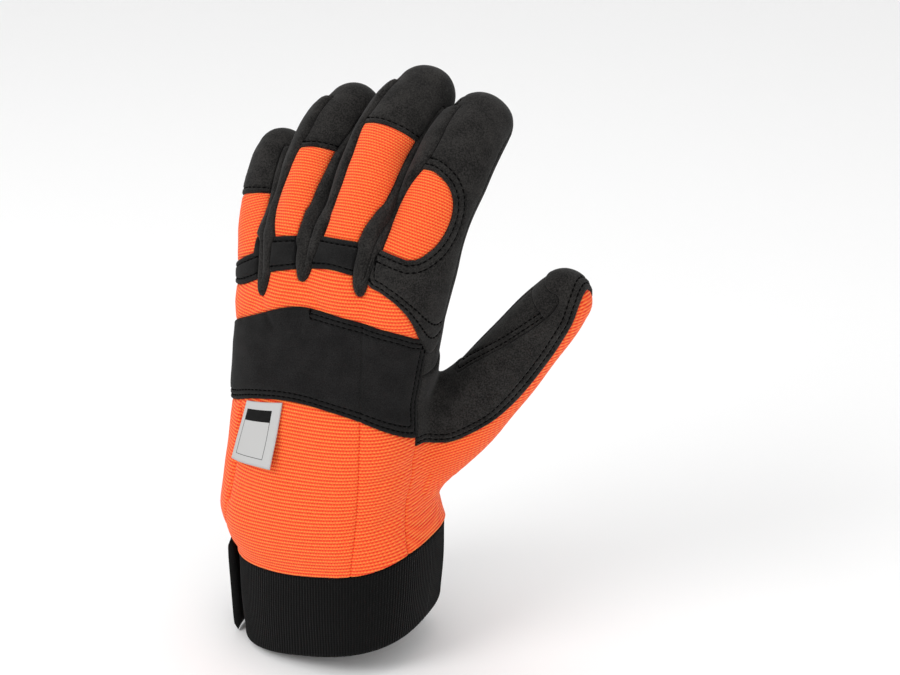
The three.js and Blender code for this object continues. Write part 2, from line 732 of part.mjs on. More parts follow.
// The pull strap: angles run round the cuff from the palm to its free end on the little finger's side
const STRAP_STATIONS = [
  { degrees: 92, off: 0, tall: 1 },
  { degrees: 178, off: 0.1, tall: 1 },
  { degrees: 190, off: 0.4, tall: 1 },
  { degrees: 199, off: 0.8, tall: 0.99 },
  { degrees: 205, off: 0.98, tall: 0.96 },
  { degrees: 207.4, off: 1, tall: 0.86 },
];
const STRAP_STEP = 9;
function strapSolid() {
  const stops = [];
  for (let k = 0; k + 1 < STRAP_STATIONS.length; k += 1) {
    const from = STRAP_STATIONS[k];
    const to = STRAP_STATIONS[k + 1];
    const parts = Math.ceil((to.degrees - from.degrees) / STRAP_STEP);
    for (let i = 0; i < parts; i += 1) {
      const at = (column) => mix(from[column], to[column], i / parts);
      stops.push({ degrees: at('degrees'), off: at('off'), tall: at('tall') });
    }
  }
  stops.push(STRAP_STATIONS.at(-1));
  const rings = stops.map(({ degrees, off, tall }) => {
    const corner = (outset, z) => {
      const { x, y, a, b } = cuffSection(outset);
      const angle = THREE.MathUtils.degToRad(degrees);
      const bend = (v) => Math.sign(v) * Math.abs(v) ** (2 / SQUARENESS);
      return leaned(x + a * bend(Math.cos(angle)), y + b * bend(Math.sin(angle)), z);
    };
    const near = SEAM_GAP * 2 + off * STRAP_STAND_OFF;
    const far = near + STRAP_THICKNESS;
    const low = (CUFF_HEIGHT - tall * STRAP_HEIGHT) / 2;
    const high = (CUFF_HEIGHT + tall * STRAP_HEIGHT) / 2;
    return [corner(near, low), corner(far, low), corner(far, high), corner(near, high)];
  });
  return loft(rings);
}
pieces.wrist_strap = strapSolid();

// Closed plate between two grids of points of the same shape
function plate(front, back) {
  const rows = front.length;
  const columns = front[0].length;
  const points = [...front.flat(), ...back.flat()];
  const at = (side, j, i) => (side * rows + j) * columns + i;
  const triangles = [];
  const quad = (a, b, c, d) => triangles.push([a, b, c], [a, c, d]);
  for (let j = 0; j + 1 < rows; j += 1) {
    for (let i = 0; i + 1 < columns; i += 1) {
      quad(at(0, j, i), at(0, j, i + 1), at(0, j + 1, i + 1), at(0, j + 1, i));
      quad(at(1, j, i), at(1, j + 1, i), at(1, j + 1, i + 1), at(1, j, i + 1));
    }
    quad(at(0, j, 0), at(0, j + 1, 0), at(1, j + 1, 0), at(1, j, 0));
    quad(at(0, j + 1, columns - 1), at(0, j, columns - 1), at(1, j, columns - 1), at(1, j + 1, columns - 1));
  }
  for (let i = 0; i + 1 < columns; i += 1) {
    quad(at(0, 0, i + 1), at(0, 0, i), at(1, 0, i), at(1, 0, i + 1));
    quad(at(0, rows - 1, i), at(0, rows - 1, i + 1), at(1, rows - 1, i + 1), at(1, rows - 1, i));
  }
  return toSolid(points, triangles);
}

// The sewn label, hanging from the band's lower edge and curling off the back: its corners, as in a seam
const LABEL_CORNERS = {
  topUlnar: { across: -0.595, up: 0.462 },
  topRadial: { across: -0.175, up: 0.489 },
  lowRadial: { across: -0.25, up: 0.297 },
  lowUlnar: { across: -0.785, up: 0.275 },
};
function labelSolid() {
  const corners = backPoints(Object.values(LABEL_CORNERS));
  const [topUlnar, topRadial, lowRadial, lowUlnar] = corners.map(([x, z]) => new THREE.Vector2(x, z));
  const steps = 4;
  const side = (v, lift) => {
    const points = [];
    for (let i = 0; i <= steps; i += 1) {
      const u = i / steps;
      const top = topUlnar.clone().lerp(topRadial, u);
      const { x, y: z } = top.lerp(lowUlnar.clone().lerp(lowRadial, u), v);
      const up = (z - HEM) / HAND_HEIGHT;
      const curl = LABEL_CURL * (0.5 * v * v + v * Math.max(0, 2 * u - 1) ** 2);
      points.push(onBack(x / halfWidth(up), up, lift + curl));
    }
    return points;
  };
  const shares = [0, 0.25, 0.5, 0.75, 1];
  const front = shares.map((v) => side(v, LABEL_GAP + LABEL_THICKNESS));
  return plate(front, shares.map((v) => side(v, LABEL_GAP)));
}
pieces.label_tag = labelSolid();

// Colours and finish
const ORANGE = { color: 0xff5a24, roughness: 0.85, metalness: 0 };
const SUEDE = { color: 0x242423, roughness: 0.95, metalness: 0 };
const SMOOTH_BLACK = { color: 0x1d1c1d, roughness: 0.8, metalness: 0 };
const KNIT = { color: 0x141414, roughness: 0.95, metalness: 0 };
const LABEL_GREY = { color: 0xc9c9c9, roughness: 0.7, metalness: 0 };
const FINISH = {
  index_patch: ORANGE,
  middle_back: ORANGE,
  ring_back: ORANGE,
  pinky_back: ORANGE,
  hand_back_upper: ORANGE,
  hand_back_lower: ORANGE,
  hand_back_inner: ORANGE,
  side_gusset: ORANGE,
  thumb_gusset: ORANGE,
  hand_band: SMOOTH_BLACK,
  knuckle_strip: SMOOTH_BLACK,
  cuff: KNIT,
  wrist_strap: KNIT,
  label_tag: LABEL_GREY,
};

const glove = new THREE.Group();
for (const [name, solid] of Object.entries(pieces)) {
  const { vertProperties, triVerts } = solid.getMesh();
  const geometry = new THREE.BufferGeometry();
  geometry.setAttribute('position', new THREE.Float32BufferAttribute(vertProperties, 3));
  geometry.setIndex([...triVerts]);
  geometry.computeVertexNormals();
  const mesh = new THREE.Mesh(geometry, new THREE.MeshStandardMaterial(FINISH[name] ?? SUEDE));
  mesh.name = name;
  glove.add(mesh);
}

export default glove;
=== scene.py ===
import math

import bpy
import numpy as np
from mathutils import Matrix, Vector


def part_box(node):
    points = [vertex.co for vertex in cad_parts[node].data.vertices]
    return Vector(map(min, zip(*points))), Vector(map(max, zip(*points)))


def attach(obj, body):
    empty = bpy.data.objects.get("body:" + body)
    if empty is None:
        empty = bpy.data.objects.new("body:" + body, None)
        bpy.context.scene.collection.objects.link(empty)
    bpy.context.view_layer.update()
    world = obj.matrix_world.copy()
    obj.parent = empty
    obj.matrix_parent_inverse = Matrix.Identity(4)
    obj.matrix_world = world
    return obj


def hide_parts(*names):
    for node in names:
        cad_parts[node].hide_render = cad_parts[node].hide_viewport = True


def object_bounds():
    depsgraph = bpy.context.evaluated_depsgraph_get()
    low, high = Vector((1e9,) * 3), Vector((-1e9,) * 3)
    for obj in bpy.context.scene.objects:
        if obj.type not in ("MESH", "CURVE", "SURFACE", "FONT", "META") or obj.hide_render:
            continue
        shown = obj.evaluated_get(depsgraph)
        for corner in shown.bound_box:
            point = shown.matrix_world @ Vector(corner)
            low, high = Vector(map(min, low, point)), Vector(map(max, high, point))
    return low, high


# A left work glove worn on an open hand. The whole glove is one fine surface, which is cut along its seams
# into panels, and each panel gets its own thickness, edges and rows of stitches. Lengths are in millimetres.

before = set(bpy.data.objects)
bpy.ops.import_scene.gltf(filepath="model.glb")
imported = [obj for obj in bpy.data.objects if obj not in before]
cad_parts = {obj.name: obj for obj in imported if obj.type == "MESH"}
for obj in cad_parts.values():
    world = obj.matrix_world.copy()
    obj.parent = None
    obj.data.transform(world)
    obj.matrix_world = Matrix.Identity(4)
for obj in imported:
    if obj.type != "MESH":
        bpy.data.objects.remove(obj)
cad_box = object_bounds()
MM = 0.001


def node_box(name):
    """Lowest and highest corner of a CAD node in millimetres."""
    low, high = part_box(name)
    return np.array(low) / MM, np.array(high) / MM


# Driving dimensions
cuff_low, cuff_high = node_box("cuff")
CUFF_HEIGHT = 37.5
CUFF_WIDTH_SHARE, CUFF_DEPTH_SHARE = 0.99, 0.9925
WRIST_WIDTH = (cuff_high[0] - cuff_low[0]) / CUFF_WIDTH_SHARE
WRIST_DEPTH = (cuff_high[1] - cuff_low[1]) / CUFF_DEPTH_SHARE
KNUCKLE_WIDTH = 84
KNUCKLE_DEPTH = 40
HAND_HEIGHT = 135
HAND_DOME = 16
SQUARENESS = 2.4
CUFF_SQUARENESS = 2.6
CUFF_WALL = 2.4
DIGIT_SIZES = {
    "index": {"reach": 86, "width": 28, "thickness": 28},
    "middle": {"reach": 89, "width": 26.4, "thickness": 27},
    "ring": {"reach": 85, "width": 24, "thickness": 25},
    "pinky": {"reach": 72, "width": 22.4, "thickness": 23},
    "thumb": {"reach": 104, "width": 30, "thickness": 30},
}

# The wrist is bent: the cuff leans, by a rise across and out, and the hand is upright again from LEAN_END up
LEAN_ACROSS = 0.17
LEAN_OUT = 0.11
LEAN_END = 0.5

# Cloth, seams and stitches
PANEL_WALL = 1.6
OVERLAY_RISE = 0.55
CAP_RISE = 0.3
PATCH_SINK = -0.1
STITCH_PITCH = 2.3
STITCH_LENGTH = 1.7
STITCH_SIGHT = 0.6
STITCH_SIDES = 6
SHORTEST_ROW = 4
THREAD_RADIUS = 0.34
GROOVE_HALF = 0.6
GROOVE_DEPTH = 0.7
RIB_PITCH = 1.37
THREAD_PITCH = 1.1
DIGIT_RIB_PITCH = 1.15
CUFF_RIB = 1.15
CUFF_LOOP = 1.0

# Rolls beside the fingers with the crease between them, the padded strip and the crease in the band
ROLL_RISE = 1.7
ROLL_SHOULDER = 2.4
CREASE_SHOULDER = 1.7
CREASE_FADE = 3
SEAM_RIDGE = 0.45
PAD_RISE = 1.0
PAD_INSET = 0.4
PAD_SHOULDER = 4
PAD_END = -0.8
PAD_FADE = 0.2
BAND_CREASE_DEPTH = 0.5
BAND_CREASE_REACH = 0.5

# Cells of the grid that the surface is made from, and the room round a digit in which it is measured
FINE = 1.0
COARSE = 5.0
DIGIT_MARGIN = 14
HAND_REACH = np.array([[-60, -52, 0], [60, 60, 0]])
# A distance longer than any on the glove, and limits that keep the searches for a point's place steady
FAR_OFF = 1e3
SHORTEST_STEP = 0.3
STEP_LIMITS = (-0.6, 1.6)
LEAST_SQUARE = 0.04

# Hand sections: height as a share of HAND_HEIGHT, then ulnar, radial, back and palm sides as shares of half
# the width or depth there
HAND_SECTIONS = np.array([
    [0, 1.03, 0.98, 0.985, 1.0],
    [0.045, 1.13, 0.93, 1.035, 1.05],
    [0.12, 1.2, 0.885, 1.085, 1.1],
    [0.25, 1.11, 0.905, 1.105, 1.025],
    [0.4, 1.04, 0.95, 1.12, 1.0],
    [0.55, 1.0, 0.93, 1.14, 0.955],
    [0.65, 0.965, 0.95, 1.14, 0.89],
    [0.76, 0.93, 1.03, 1.145, 0.805],
    [0.88, 0.86, 1.11, 1.145, 0.69],
    [1.0, 0.8, 1.085, 1.05, 0.55],
])

# Each digit: root (across, out, up as shares of half the knuckle width, half the knuckle depth and the
# hand's height), the way its width points where that isn't X, and its centre line (across, out, up as shares
# of its reach, then half width and half thickness as shares)
DIGIT_LINES = {
    "index": {
        "root": (0.64, -0.15, 0.6),
        "line": [
            [0, 0, 0, 0.9, 1.21],
            [0.083, -0.047, 0.326, 0.93, 1.14],
            [0.138, 0.012, 0.58, 0.93, 1.02],
            [0.166, 0.15, 0.78, 1.0, 0.965],
            [0.187, 0.3, 0.925, 0.99, 0.915],
            [0.205, 0.42, 0.995, 0.86, 0.81],
        ],
    },
    "middle": {
        "root": (0.26, -0.2, 0.63),
        "line": [
            [0, 0, 0, 0.985, 1.26],
            [0.038, -0.056, 0.315, 1.0, 1.185],
            [0.042, 0, 0.56, 1.015, 1.06],
            [0.044, 0.14, 0.765, 1.015, 0.98],
            [0.07, 0.3, 0.92, 0.985, 0.92],
            [0.096, 0.44, 1.0, 0.88, 0.83],
        ],
    },
    "ring": {
        "root": (-0.27, -0.15, 0.6),
        "line": [
            [0, 0, 0, 0.96, 1.28],
            [0.013, -0.06, 0.33, 0.985, 1.24],
            [0.011, 0, 0.59, 1.015, 1.09],
            [0.001, 0.13, 0.79, 1.03, 1.0],
            [0.013, 0.27, 0.93, 1.0, 0.945],
            [0.04, 0.37, 1.0, 0.9, 0.84],
        ],
    },
    "pinky": {
        "root": (-0.56, -0.05, 0.56),
        "line": [
            [0, 0, 0, 1.05, 1.22],
            [0.028, -0.04, 0.305, 1.2, 1.235],
            [-0.024, 0, 0.57, 1.19, 1.13],
            [-0.109, 0.105, 0.78, 1.17, 1.03],
            [-0.143, 0.215, 0.93, 1.0, 0.96],
            [-0.16, 0.29, 1.0, 0.86, 0.835],
        ],
    },
    "thumb": {
        "root": (0.48, 0.5, 0.19),
        "side": (0.62, 0.35, -0.55),
        "line": [
            [0, 0, 0, 0.85, 0.85],
            [0.155, 0.04, 0.175, 1.08, 1.05],
            [0.325, 0.08, 0.375, 1.0, 1.02],
            [0.46, 0.105, 0.56, 0.92, 0.94],
            [0.565, 0.115, 0.7, 0.83, 0.85],
            [0.625, 0.115, 0.78, 0.74, 0.73],
        ],
    },
}
FINGERS = ("pinky", "ring", "middle", "index")

# Seams on the back of the hand: across as a share of half the knuckle width, up as a share of HAND_HEIGHT
STRIP_BOTTOM = [(-0.95, 0.765), (-0.69, 0.8), (-0.49, 0.834), (-0.34, 0.864), (-0.1, 0.884), (0.12, 0.897),
                (0.33, 0.904), (0.62, 0.888)]
BAND_TOP = [(-0.95, 0.645), (-0.8, 0.683), (-0.44, 0.737), (-0.2, 0.768), (0, 0.779), (0.3, 0.775),
            (0.59, 0.759), (0.91, 0.738), (1.08, 0.7)]
BAND_BOTTOM = [(-1.1, 0.4), (-0.64, 0.466), (-0.38, 0.49), (-0.17, 0.5), (0.09, 0.5), (0.35, 0.487),
               (0.57, 0.468), (0.77, 0.434), (0.91, 0.398), (1.0, 0.355)]
SIDE_PANEL_EDGE = [(0.6, 0.98), (0.62, 0.88), (0.77, 0.856), (0.9, 0.83), (1.0, 0.787), (1.04, 0.72),
                   (1.03, 0.6)]
ULNAR_SEAM = [(-0.7, 0.5), (-0.75, 0.36), (-0.79, 0.27), (-0.83, 0.19), (-0.91, 0.1), (-1.0, 0)]
INNER_SEAM = [(0.575, 0.5), (0.572, 0.34), (0.55, 0.18), (0.505, 0)]
BAND_SEAM = [(0.6, 0.8), (0.59, 0.66), (0.575, 0.5), (0.57, 0.4)]
# Seams on the thumb as shares of its reach from its root
PATCH_OUTER = [(0.08, 0.243), (0.15, 0.234), (0.18, 0.224), (0.22, 0.215), (0.29, 0.229), (0.406, 0.303),
               (0.475, 0.374), (0.534, 0.455), (0.593, 0.546), (0.646, 0.635), (0.69, 0.72), (0.713, 0.8),
               (0.715, 0.87), (0.69, 0.95)]
PATCH_INNER = [(0.5, 0.95), (0.56, 0.87), (0.6, 0.84), (0.638, 0.83), (0.65, 0.81), (0.644, 0.788),
               (0.607, 0.737), (0.48, 0.631), (0.4, 0.573), (0.32, 0.513), (0.255, 0.465), (0.22, 0.485),
               (0.17, 0.53), (0.08, 0.545)]

# Panels on the digits: t from root to tip, then degrees round the digit (0 radial side, 90 back, 180 ulnar
# side). A cap or back starts at one t on the radial side and at another on the ulnar side
CAP_START = {"middle": (0.71, 0.692), "ring": (0.668, 0.61), "pinky": (0.575, 0.65)}
BACK_START = {"middle": (0.334, 0.332), "ring": (0.368, 0.31), "pinky": (0.425, 0.345)}
INDEX_PATCH = [(0.333, 76, 128), (0.343, 63, 132), (0.367, 50, 138), (0.41, 36, 146), (0.463, 30, 148),
               (0.51, 34, 142), (0.545, 44, 135), (0.575, 58, 126), (0.595, 76, 120), (0.606, 92, 112)]
PAST_TIP = 1.2
TIP_WRAP = (-20, 200)
BACK_WRAP = (-5, 185)
INDEX_WRAP = [(t, *TIP_WRAP) for t in (0.25, 0.64, PAST_TIP)]
THUMB_WALL = [(t, 95, 190) for t in (0.34, 0.6, 0.9)]
DIGIT_PANEL_REACH = 0.6

# Between two fingers: the edge of the padded wall on each as (t, degrees), then on the back of the hand the
# outline of the tongue and the crease between its two rolls, as (across, up)
FOURCHETTES = {
    "ring_pinky": {
        "ulnar": ("pinky", [(0.34, 78), (0.42, 77), (0.5, 76), (0.6, 72), (0.93, 62)]),
        "radial": ("ring", [(0.33, 112), (0.39, 133), (0.45, 139), (0.53, 126), (0.63, 116), (0.68, 106),
                            (0.93, 108)]),
        "tongue": [(-0.55, 1.01), (-0.542, 0.956), (-0.512, 0.92), (-0.494, 0.864), (-0.492, 0.81),
                   (-0.462, 0.786), (-0.432, 0.79), (-0.392, 0.816), (-0.352, 0.868), (-0.354, 0.912),
                   (-0.369, 0.947), (-0.46, 0.994)],
        "crease": [(-0.49, 0.99), (-0.484, 0.957), (-0.45, 0.923), (-0.427, 0.892), (-0.417, 0.83)],
    },
    "middle_ring": {
        "ulnar": ("ring", [(0.33, 69), (0.41, 62), (0.49, 56), (0.56, 49), (0.655, 43), (0.77, 32),
                           (0.93, 30)]),
        "radial": ("middle", [(0.33, 143), (0.38, 138), (0.43, 130), (0.48, 125), (0.576, 121), (0.69, 130),
                              (0.74, 120), (0.93, 117)]),
        "tongue": [(-0.109, 1.026), (-0.097, 0.967), (-0.095, 0.933), (-0.088, 0.904), (-0.068, 0.872),
                   (-0.045, 0.854), (-0.005, 0.853), (0.035, 0.866), (0.066, 0.891), (0.09, 0.916),
                   (0.118, 0.943), (0.128, 0.974), (0.13, 1.017)],
        "crease": [(-0.022, 1.011), (0.005, 0.98), (0.02, 0.946), (0.018, 0.912), (0.007, 0.879)],
    },
    "index_middle": {
        "ulnar": ("middle", [(0.33, 62), (0.38, 53), (0.44, 36), (0.516, 27), (0.615, 21), (0.72, 17),
                             (0.78, 11), (0.93, 8)]),
        "radial": ("index", [(0.33, 133), (0.383, 142), (0.463, 145), (0.535, 128), (0.6, 111), (0.65, 102),
                             (0.73, 101), (0.87, 106), (0.93, 106)]),
        "tongue": [(0.592, 1.052), (0.54, 1.016), (0.523, 0.983), (0.507, 0.95), (0.5, 0.914),
                   (0.501, 0.887), (0.515, 0.857), (0.55, 0.838), (0.585, 0.838), (0.61, 0.85),
                   (0.63, 0.873), (0.652, 0.904), (0.67, 0.935), (0.685, 0.962), (0.69, 1.009)],
        "crease": [(0.612, 1.058), (0.626, 1.015), (0.633, 0.978), (0.623, 0.931), (0.596, 0.879)],
    },
}
# Walls between the fingers run from WEB_START to WEB_END along them and this far round to the palm. Between
# the CREASE_SWITCH heights the crease goes over from its line on the back to the middle between two fingers
WEB_START = 0.33
WEB_END = 0.93
WEB_STEPS = 25
WEB_PALM_DEGREES = 33
CREASE_SWITCH = (0.97, 1.03)
NOTCH_FILL = 4

# Where the panels on the back end behind: at the hand's side, nearer to the back low down on the thumb's
# side, then between the fingers and behind the thumb
SIDE_SHARE = -0.28
SIDE_LEAN = -0.1
THUMB_SIDE_TURN = 0.28
THUMB_SIDE_SHIFT = 6
PANEL_BEHIND = -0.02
THUMB_SEAM_AT = 0.6
THUMB_SEAM_BEHIND = 9
GUSSET_SLOPE = 0.35
GUSSET_FROM = 36

# The hem lies a little under the cuff's top and rises from an X on, over a width, on the thumb's side
HEM = CUFF_HEIGHT
HEM_SEAM = HEM - 2.1
HEM_RISE = 4.5
HEM_RISE_FROM = 16
HEM_RISE_WIDTH = 25
HEM_GAP = 0.15
CUFF_TAPER = 3
FAR = 2 * WRIST_WIDTH


def mix(a, b, t):
    return a + (b - a) * t


def half_width(up):
    return mix(WRIST_WIDTH, KNUCKLE_WIDTH, up) / 2


def half_depth(up):
    return mix(WRIST_DEPTH, KNUCKLE_DEPTH, up) / 2


def height_at(up):
    return HEM + up * HAND_HEIGHT


FAR_UP = height_at(2)


def on_hand(across, up):
    """X and Z of a place on the back of the hand."""
    return across * half_width(up), height_at(up)


def hem_at(x):
    """Level of the hem's seam, which rises on the thumb's side."""
    return HEM_SEAM + HEM_RISE * np.clip((x - HEM_RISE_FROM) / HEM_RISE_WIDTH, 0, 1) ** 2


def catmull(rows, steps):
    """Catmull-Rom curve through the rows, with every column interpolated."""
    rows = np.array(rows, float)
    knots = np.vstack([2 * rows[0] - rows[1], rows, 2 * rows[-1] - rows[-2]])
    out = []
    for i in range(1, len(knots) - 2):
        a, b, c, d = knots[i - 1:i + 3]
        for t in np.arange(steps) / steps:
            out.append(0.5 * (2 * b + (c - a) * t + (2 * a - 5 * b + 4 * c - d) * t ** 2
                              + (3 * b - a - 3 * c + d) * t ** 3))
    out.append(rows[-1])
    return np.array(out)


def unit(v):
    return v / np.maximum(np.linalg.norm(v, axis=-1, keepdims=True), 1e-9)


def run_of(points):
    """Way along a line to each of its points."""
    return np.concatenate([[0], np.cumsum(np.linalg.norm(np.diff(points, axis=0), axis=1))])


def row_at(place, run, rows):
    """The row between others at a way along a line."""
    return np.array([np.interp(place, run, column) for column in rows.T])


# The glove as a field: negative inside, zero on its surface

ups = HAND_SECTIONS[:, 0]
hand_rows = np.column_stack([
    height_at(ups),
    half_width(ups) * (HAND_SECTIONS[:, 2] - HAND_SECTIONS[:, 1]) / 2,
    half_depth(ups) * (HAND_SECTIONS[:, 4] - HAND_SECTIONS[:, 3]) / 2,
    half_width(ups) * (HAND_SECTIONS[:, 2] + HAND_SECTIONS[:, 1]) / 2,
    half_depth(ups) * (HAND_SECTIONS[:, 4] + HAND_SECTIONS[:, 3]) / 2,
])
hand_curve = catmull(hand_rows, 6)


def hand_section(z):
    """Centre and half sizes of the hand at these heights."""
    return [np.interp(z, hand_curve[:, 0], hand_curve[:, k]) for k in range(1, 5)]


class Digit:
    """A finger or the thumb: a centre line with an oval section and a round tip."""

    def __init__(self, name):
        sizes, line = DIGIT_SIZES[name], DIGIT_LINES[name]
        self.reach = sizes["reach"]
        across, out, up = line["root"]
        self.root = np.array([across * KNUCKLE_WIDTH / 2, out * KNUCKLE_DEPTH / 2, height_at(up)])
        rows = np.array(line["line"], float)
        rows[:, :3] = self.root + self.reach * rows[:, :3]
        rows[:, 3] *= sizes["width"] / 2
        rows[:, 4] *= sizes["thickness"] / 2
        path = catmull(rows, 6)
        self.centre, self.half = path[:, :3], path[:, 3:]
        self.along = unit(np.gradient(self.centre, axis=0))
        side = np.array(line.get("side", (1, 0, 0)), float)
        self.radial = unit(side - self.along * (self.along @ side)[:, None])
        self.palmar = np.cross(self.along, self.radial)
        self.t = np.linspace(0, 1, len(path))
        back = self.centre - self.palmar * self.half[:, 1:]
        self.run = run_of(back)
        margin = DIGIT_MARGIN + self.half.max()
        self.low, self.high = self.centre.min(0) - margin, self.centre.max(0) + margin

    def measure(self, points, exact=False):
        """Distance, share along the line, way beyond the tip and degrees round the digit, for each point."""
        out = np.full((4, len(points)), FAR_OFF)
        near = ((points > self.low) & (points < self.high)).all(1)
        p = points[near]
        best = np.full((4, len(p)), FAR_OFF)
        for k in range(len(self.t) - 1):
            step = self.centre[k + 1] - self.centre[k]
            off = p - self.centre[k]
            share = np.clip(off @ step / (step @ step), 0, 1)
            off -= share[:, None] * step
            a = mix(self.half[k, 0], self.half[k + 1, 0], share)
            b = mix(self.half[k, 1], self.half[k + 1, 1], share)
            axes = [
                (off @ axis[k]) * (1 - share) + (off @ axis[k + 1]) * share
                for axis in (self.radial, self.palmar, self.along)
            ]
            least = np.minimum(a, b)
            u, v = axes[0] / a, axes[1] / b
            distance = (np.sqrt(u ** 2 + v ** 2 + (axes[2] / least) ** 2) - 1) * least
            closer = distance < best[0]
            rows = (distance, (k + share) / (len(self.t) - 1), axes[2], np.degrees(np.arctan2(-v, u)))
            for row, values in zip(best, rows):
                row[closer] = values[closer]
        if exact:
            best[1] = self.share_of(p, best[1])
        out[:, near] = best
        return out

    def share_of(self, points, t, rounds=6):
        """The share whose cross-section holds each point, found from a first guess."""
        last = len(self.t) - 1
        place = t * last
        for _ in range(rounds):
            k = np.clip(place.astype(int), 0, last - 1)
            ahead = ((points - self.centre[k]) * self.along[k]).sum(1)
            behind = ((self.centre[k + 1] - points) * self.along[k + 1]).sum(1)
            both = np.maximum(ahead + behind, SHORTEST_STEP)
            place = np.clip(k + np.clip(ahead / both, *STEP_LIMITS), 0, last)
        return place / last

    def centre_at(self, t):
        return row_at(t, self.t, self.centre)

    def length_at(self, t):
        """Way along the line in millimetres, also beyond its end."""
        return np.interp(t, self.t, self.run) + np.maximum(np.asarray(t) - 1, 0) * self.reach

    def radius_at(self, t):
        return np.interp(t, self.t, self.half.mean(1))


digits = {name: Digit(name) for name in DIGIT_LINES}


def soft_min(a, b, reach):
    share = np.clip(0.5 + 0.5 * (b - a) / reach, 0, 1)
    return mix(b, a, share) - reach * share * (1 - share)


def lean_share(level):
    return 1 - np.clip(level / height_at(LEAN_END), 0, 1)


def leaned(x, y, level):
    """Height of a point of the cuff or hand that would be at this level were the wrist straight."""
    return level + lean_share(level) * (LEAN_ACROSS * x + LEAN_OUT * y)


def level_of(points):
    """The level of each point, the lean taken out."""
    x, y, z = points.T
    level = z
    for _ in range(4):
        level = z - lean_share(level) * (LEAN_ACROSS * x + LEAN_OUT * y)
    return level


def hand_field(points):
    z = level_of(points)
    x, y, a, b = hand_section(z)
    q = (np.abs((points[:, 0] - x) / a) ** SQUARENESS + np.abs((points[:, 1] - y) / b) ** SQUARENESS)
    side = (q ** (1 / SQUARENESS) - 1) * np.minimum(a, b)
    return -soft_min(-side, height_at(1) - z, HAND_DOME)


FINGER_BLEND = 1.5
HAND_BLEND = 8
THUMB_BLEND = 6


def glove_field(points):
    """The whole glove: fingers, then the hand and the thumb, each run softly into the rest."""
    fingers = None
    for name in FINGERS:
        distance = digits[name].measure(points)[0]
        fingers = distance if fingers is None else soft_min(fingers, distance, FINGER_BLEND)
    whole = soft_min(hand_field(points), fingers, HAND_BLEND)
    return soft_min(whole, digits["thumb"].measure(points)[0], THUMB_BLEND)


def gradient(points, step=0.05):
    """Field value and its gradient."""
    value = glove_field(points)
    slope = np.column_stack([(glove_field(points + step * axis) - value) / step for axis in np.eye(3)])
    return value, slope


def settle(points, rounds=2):
    """Points moved onto the surface, with its outward normals."""
    for _ in range(rounds):
        value, slope = gradient(points)
        size = np.maximum((slope ** 2).sum(1), LEAST_SQUARE)
        points = points - slope * np.clip(value / size, -FINE, FINE)[:, None]
    _, slope = gradient(points)
    return points, unit(slope)


def surface_mesh():
    """The glove's surface above the hem as points and triangles, from a grid that is fine only beside it."""
    low = np.vstack([HAND_REACH[0], *(digit.low for digit in digits.values())]).min(0)
    high = np.vstack([HAND_REACH[1], *(digit.high for digit in digits.values())]).max(0)
    low[2] = HEM - 4 * COARSE
    blocks = np.ceil((high - low) / COARSE).astype(int)
    per = int(round(COARSE / FINE))
    block = np.stack(np.meshgrid(*[np.arange(n) for n in blocks], indexing="ij"), -1).reshape(-1, 3)
    middle = glove_field(low + (block + 0.5) * COARSE)
    near = np.abs(middle) < COARSE
    size = blocks * per + 1
    values = np.full(size, FAR_OFF)
    inside = block[middle < 0] * per
    steps = np.stack(np.meshgrid(*[np.arange(per + 1)] * 3, indexing="ij"), -1).reshape(-1, 3)
    cells = (inside[:, None] + steps).reshape(-1, 3)
    values[tuple(cells.T)] = -FAR_OFF
    cells = np.unique((block[near][:, None] * per + steps).reshape(-1, 3), axis=0)
    values[tuple(cells.T)] = glove_field(low + cells * FINE)
    sign = values < 0
    corners = np.stack(np.meshgrid([0, 1], [0, 1], [0, 1], indexing="ij"), -1).reshape(-1, 3)
    shifted = [sign[tuple(slice(a, n - 1 + a) for a, n in zip(corner, size))] for corner in corners]
    count = np.sum(shifted, axis=0)
    cell = np.argwhere((count > 0) & (count < 8))
    number = -np.ones(size, int)
    number[tuple(cell.T)] = np.arange(len(cell))
    total = np.zeros((len(cell), 3))
    hits = np.zeros(len(cell))
    for i, a in enumerate(corners):
        for b in corners[i + 1:]:
            if np.abs(a - b).sum() != 1:
                continue
            va, vb = values[tuple((cell + a).T)], values[tuple((cell + b).T)]
            cross = (va < 0) != (vb < 0)
            share = np.where(cross, va / np.where(va == vb, 1, va - vb), 0)
            total += cross[:, None] * (a + share[:, None] * (b - a))
            hits += cross
    points = low + (cell + total / hits[:, None]) * FINE
    quads = []
    for axis in range(3):
        one, two = [k for k in range(3) if k != axis]
        if axis == 1:
            one, two = two, one
        step = np.eye(3, dtype=int)[axis]
        here = np.argwhere(sign[tuple(slice(1, -1) for _ in range(3))]) + 1
        for start, turn in ((here, False), (here - step, True)):
            other = start + step if not turn else start
            cross = start[~sign[tuple(other.T)]]
            around = []
            for back_one, back_two in ((1, 1), (0, 1), (0, 0), (1, 0)):
                spot = cross.copy()
                spot[:, one] -= back_one
                spot[:, two] -= back_two
                around.append(number[tuple(spot.T)])
            quad = np.stack(around, 1)
            quads.append(quad[:, ::-1] if turn else quad)
    quads = np.vstack(quads)
    quads = quads[(quads >= 0).all(1)]
    points, normals = settle(points)
    triangles = np.vstack([quads[:, [0, 1, 2]], quads[:, [0, 2, 3]]])
    return points, normals, triangles


# Seam fields: signed distances along the surface, negative inside a panel

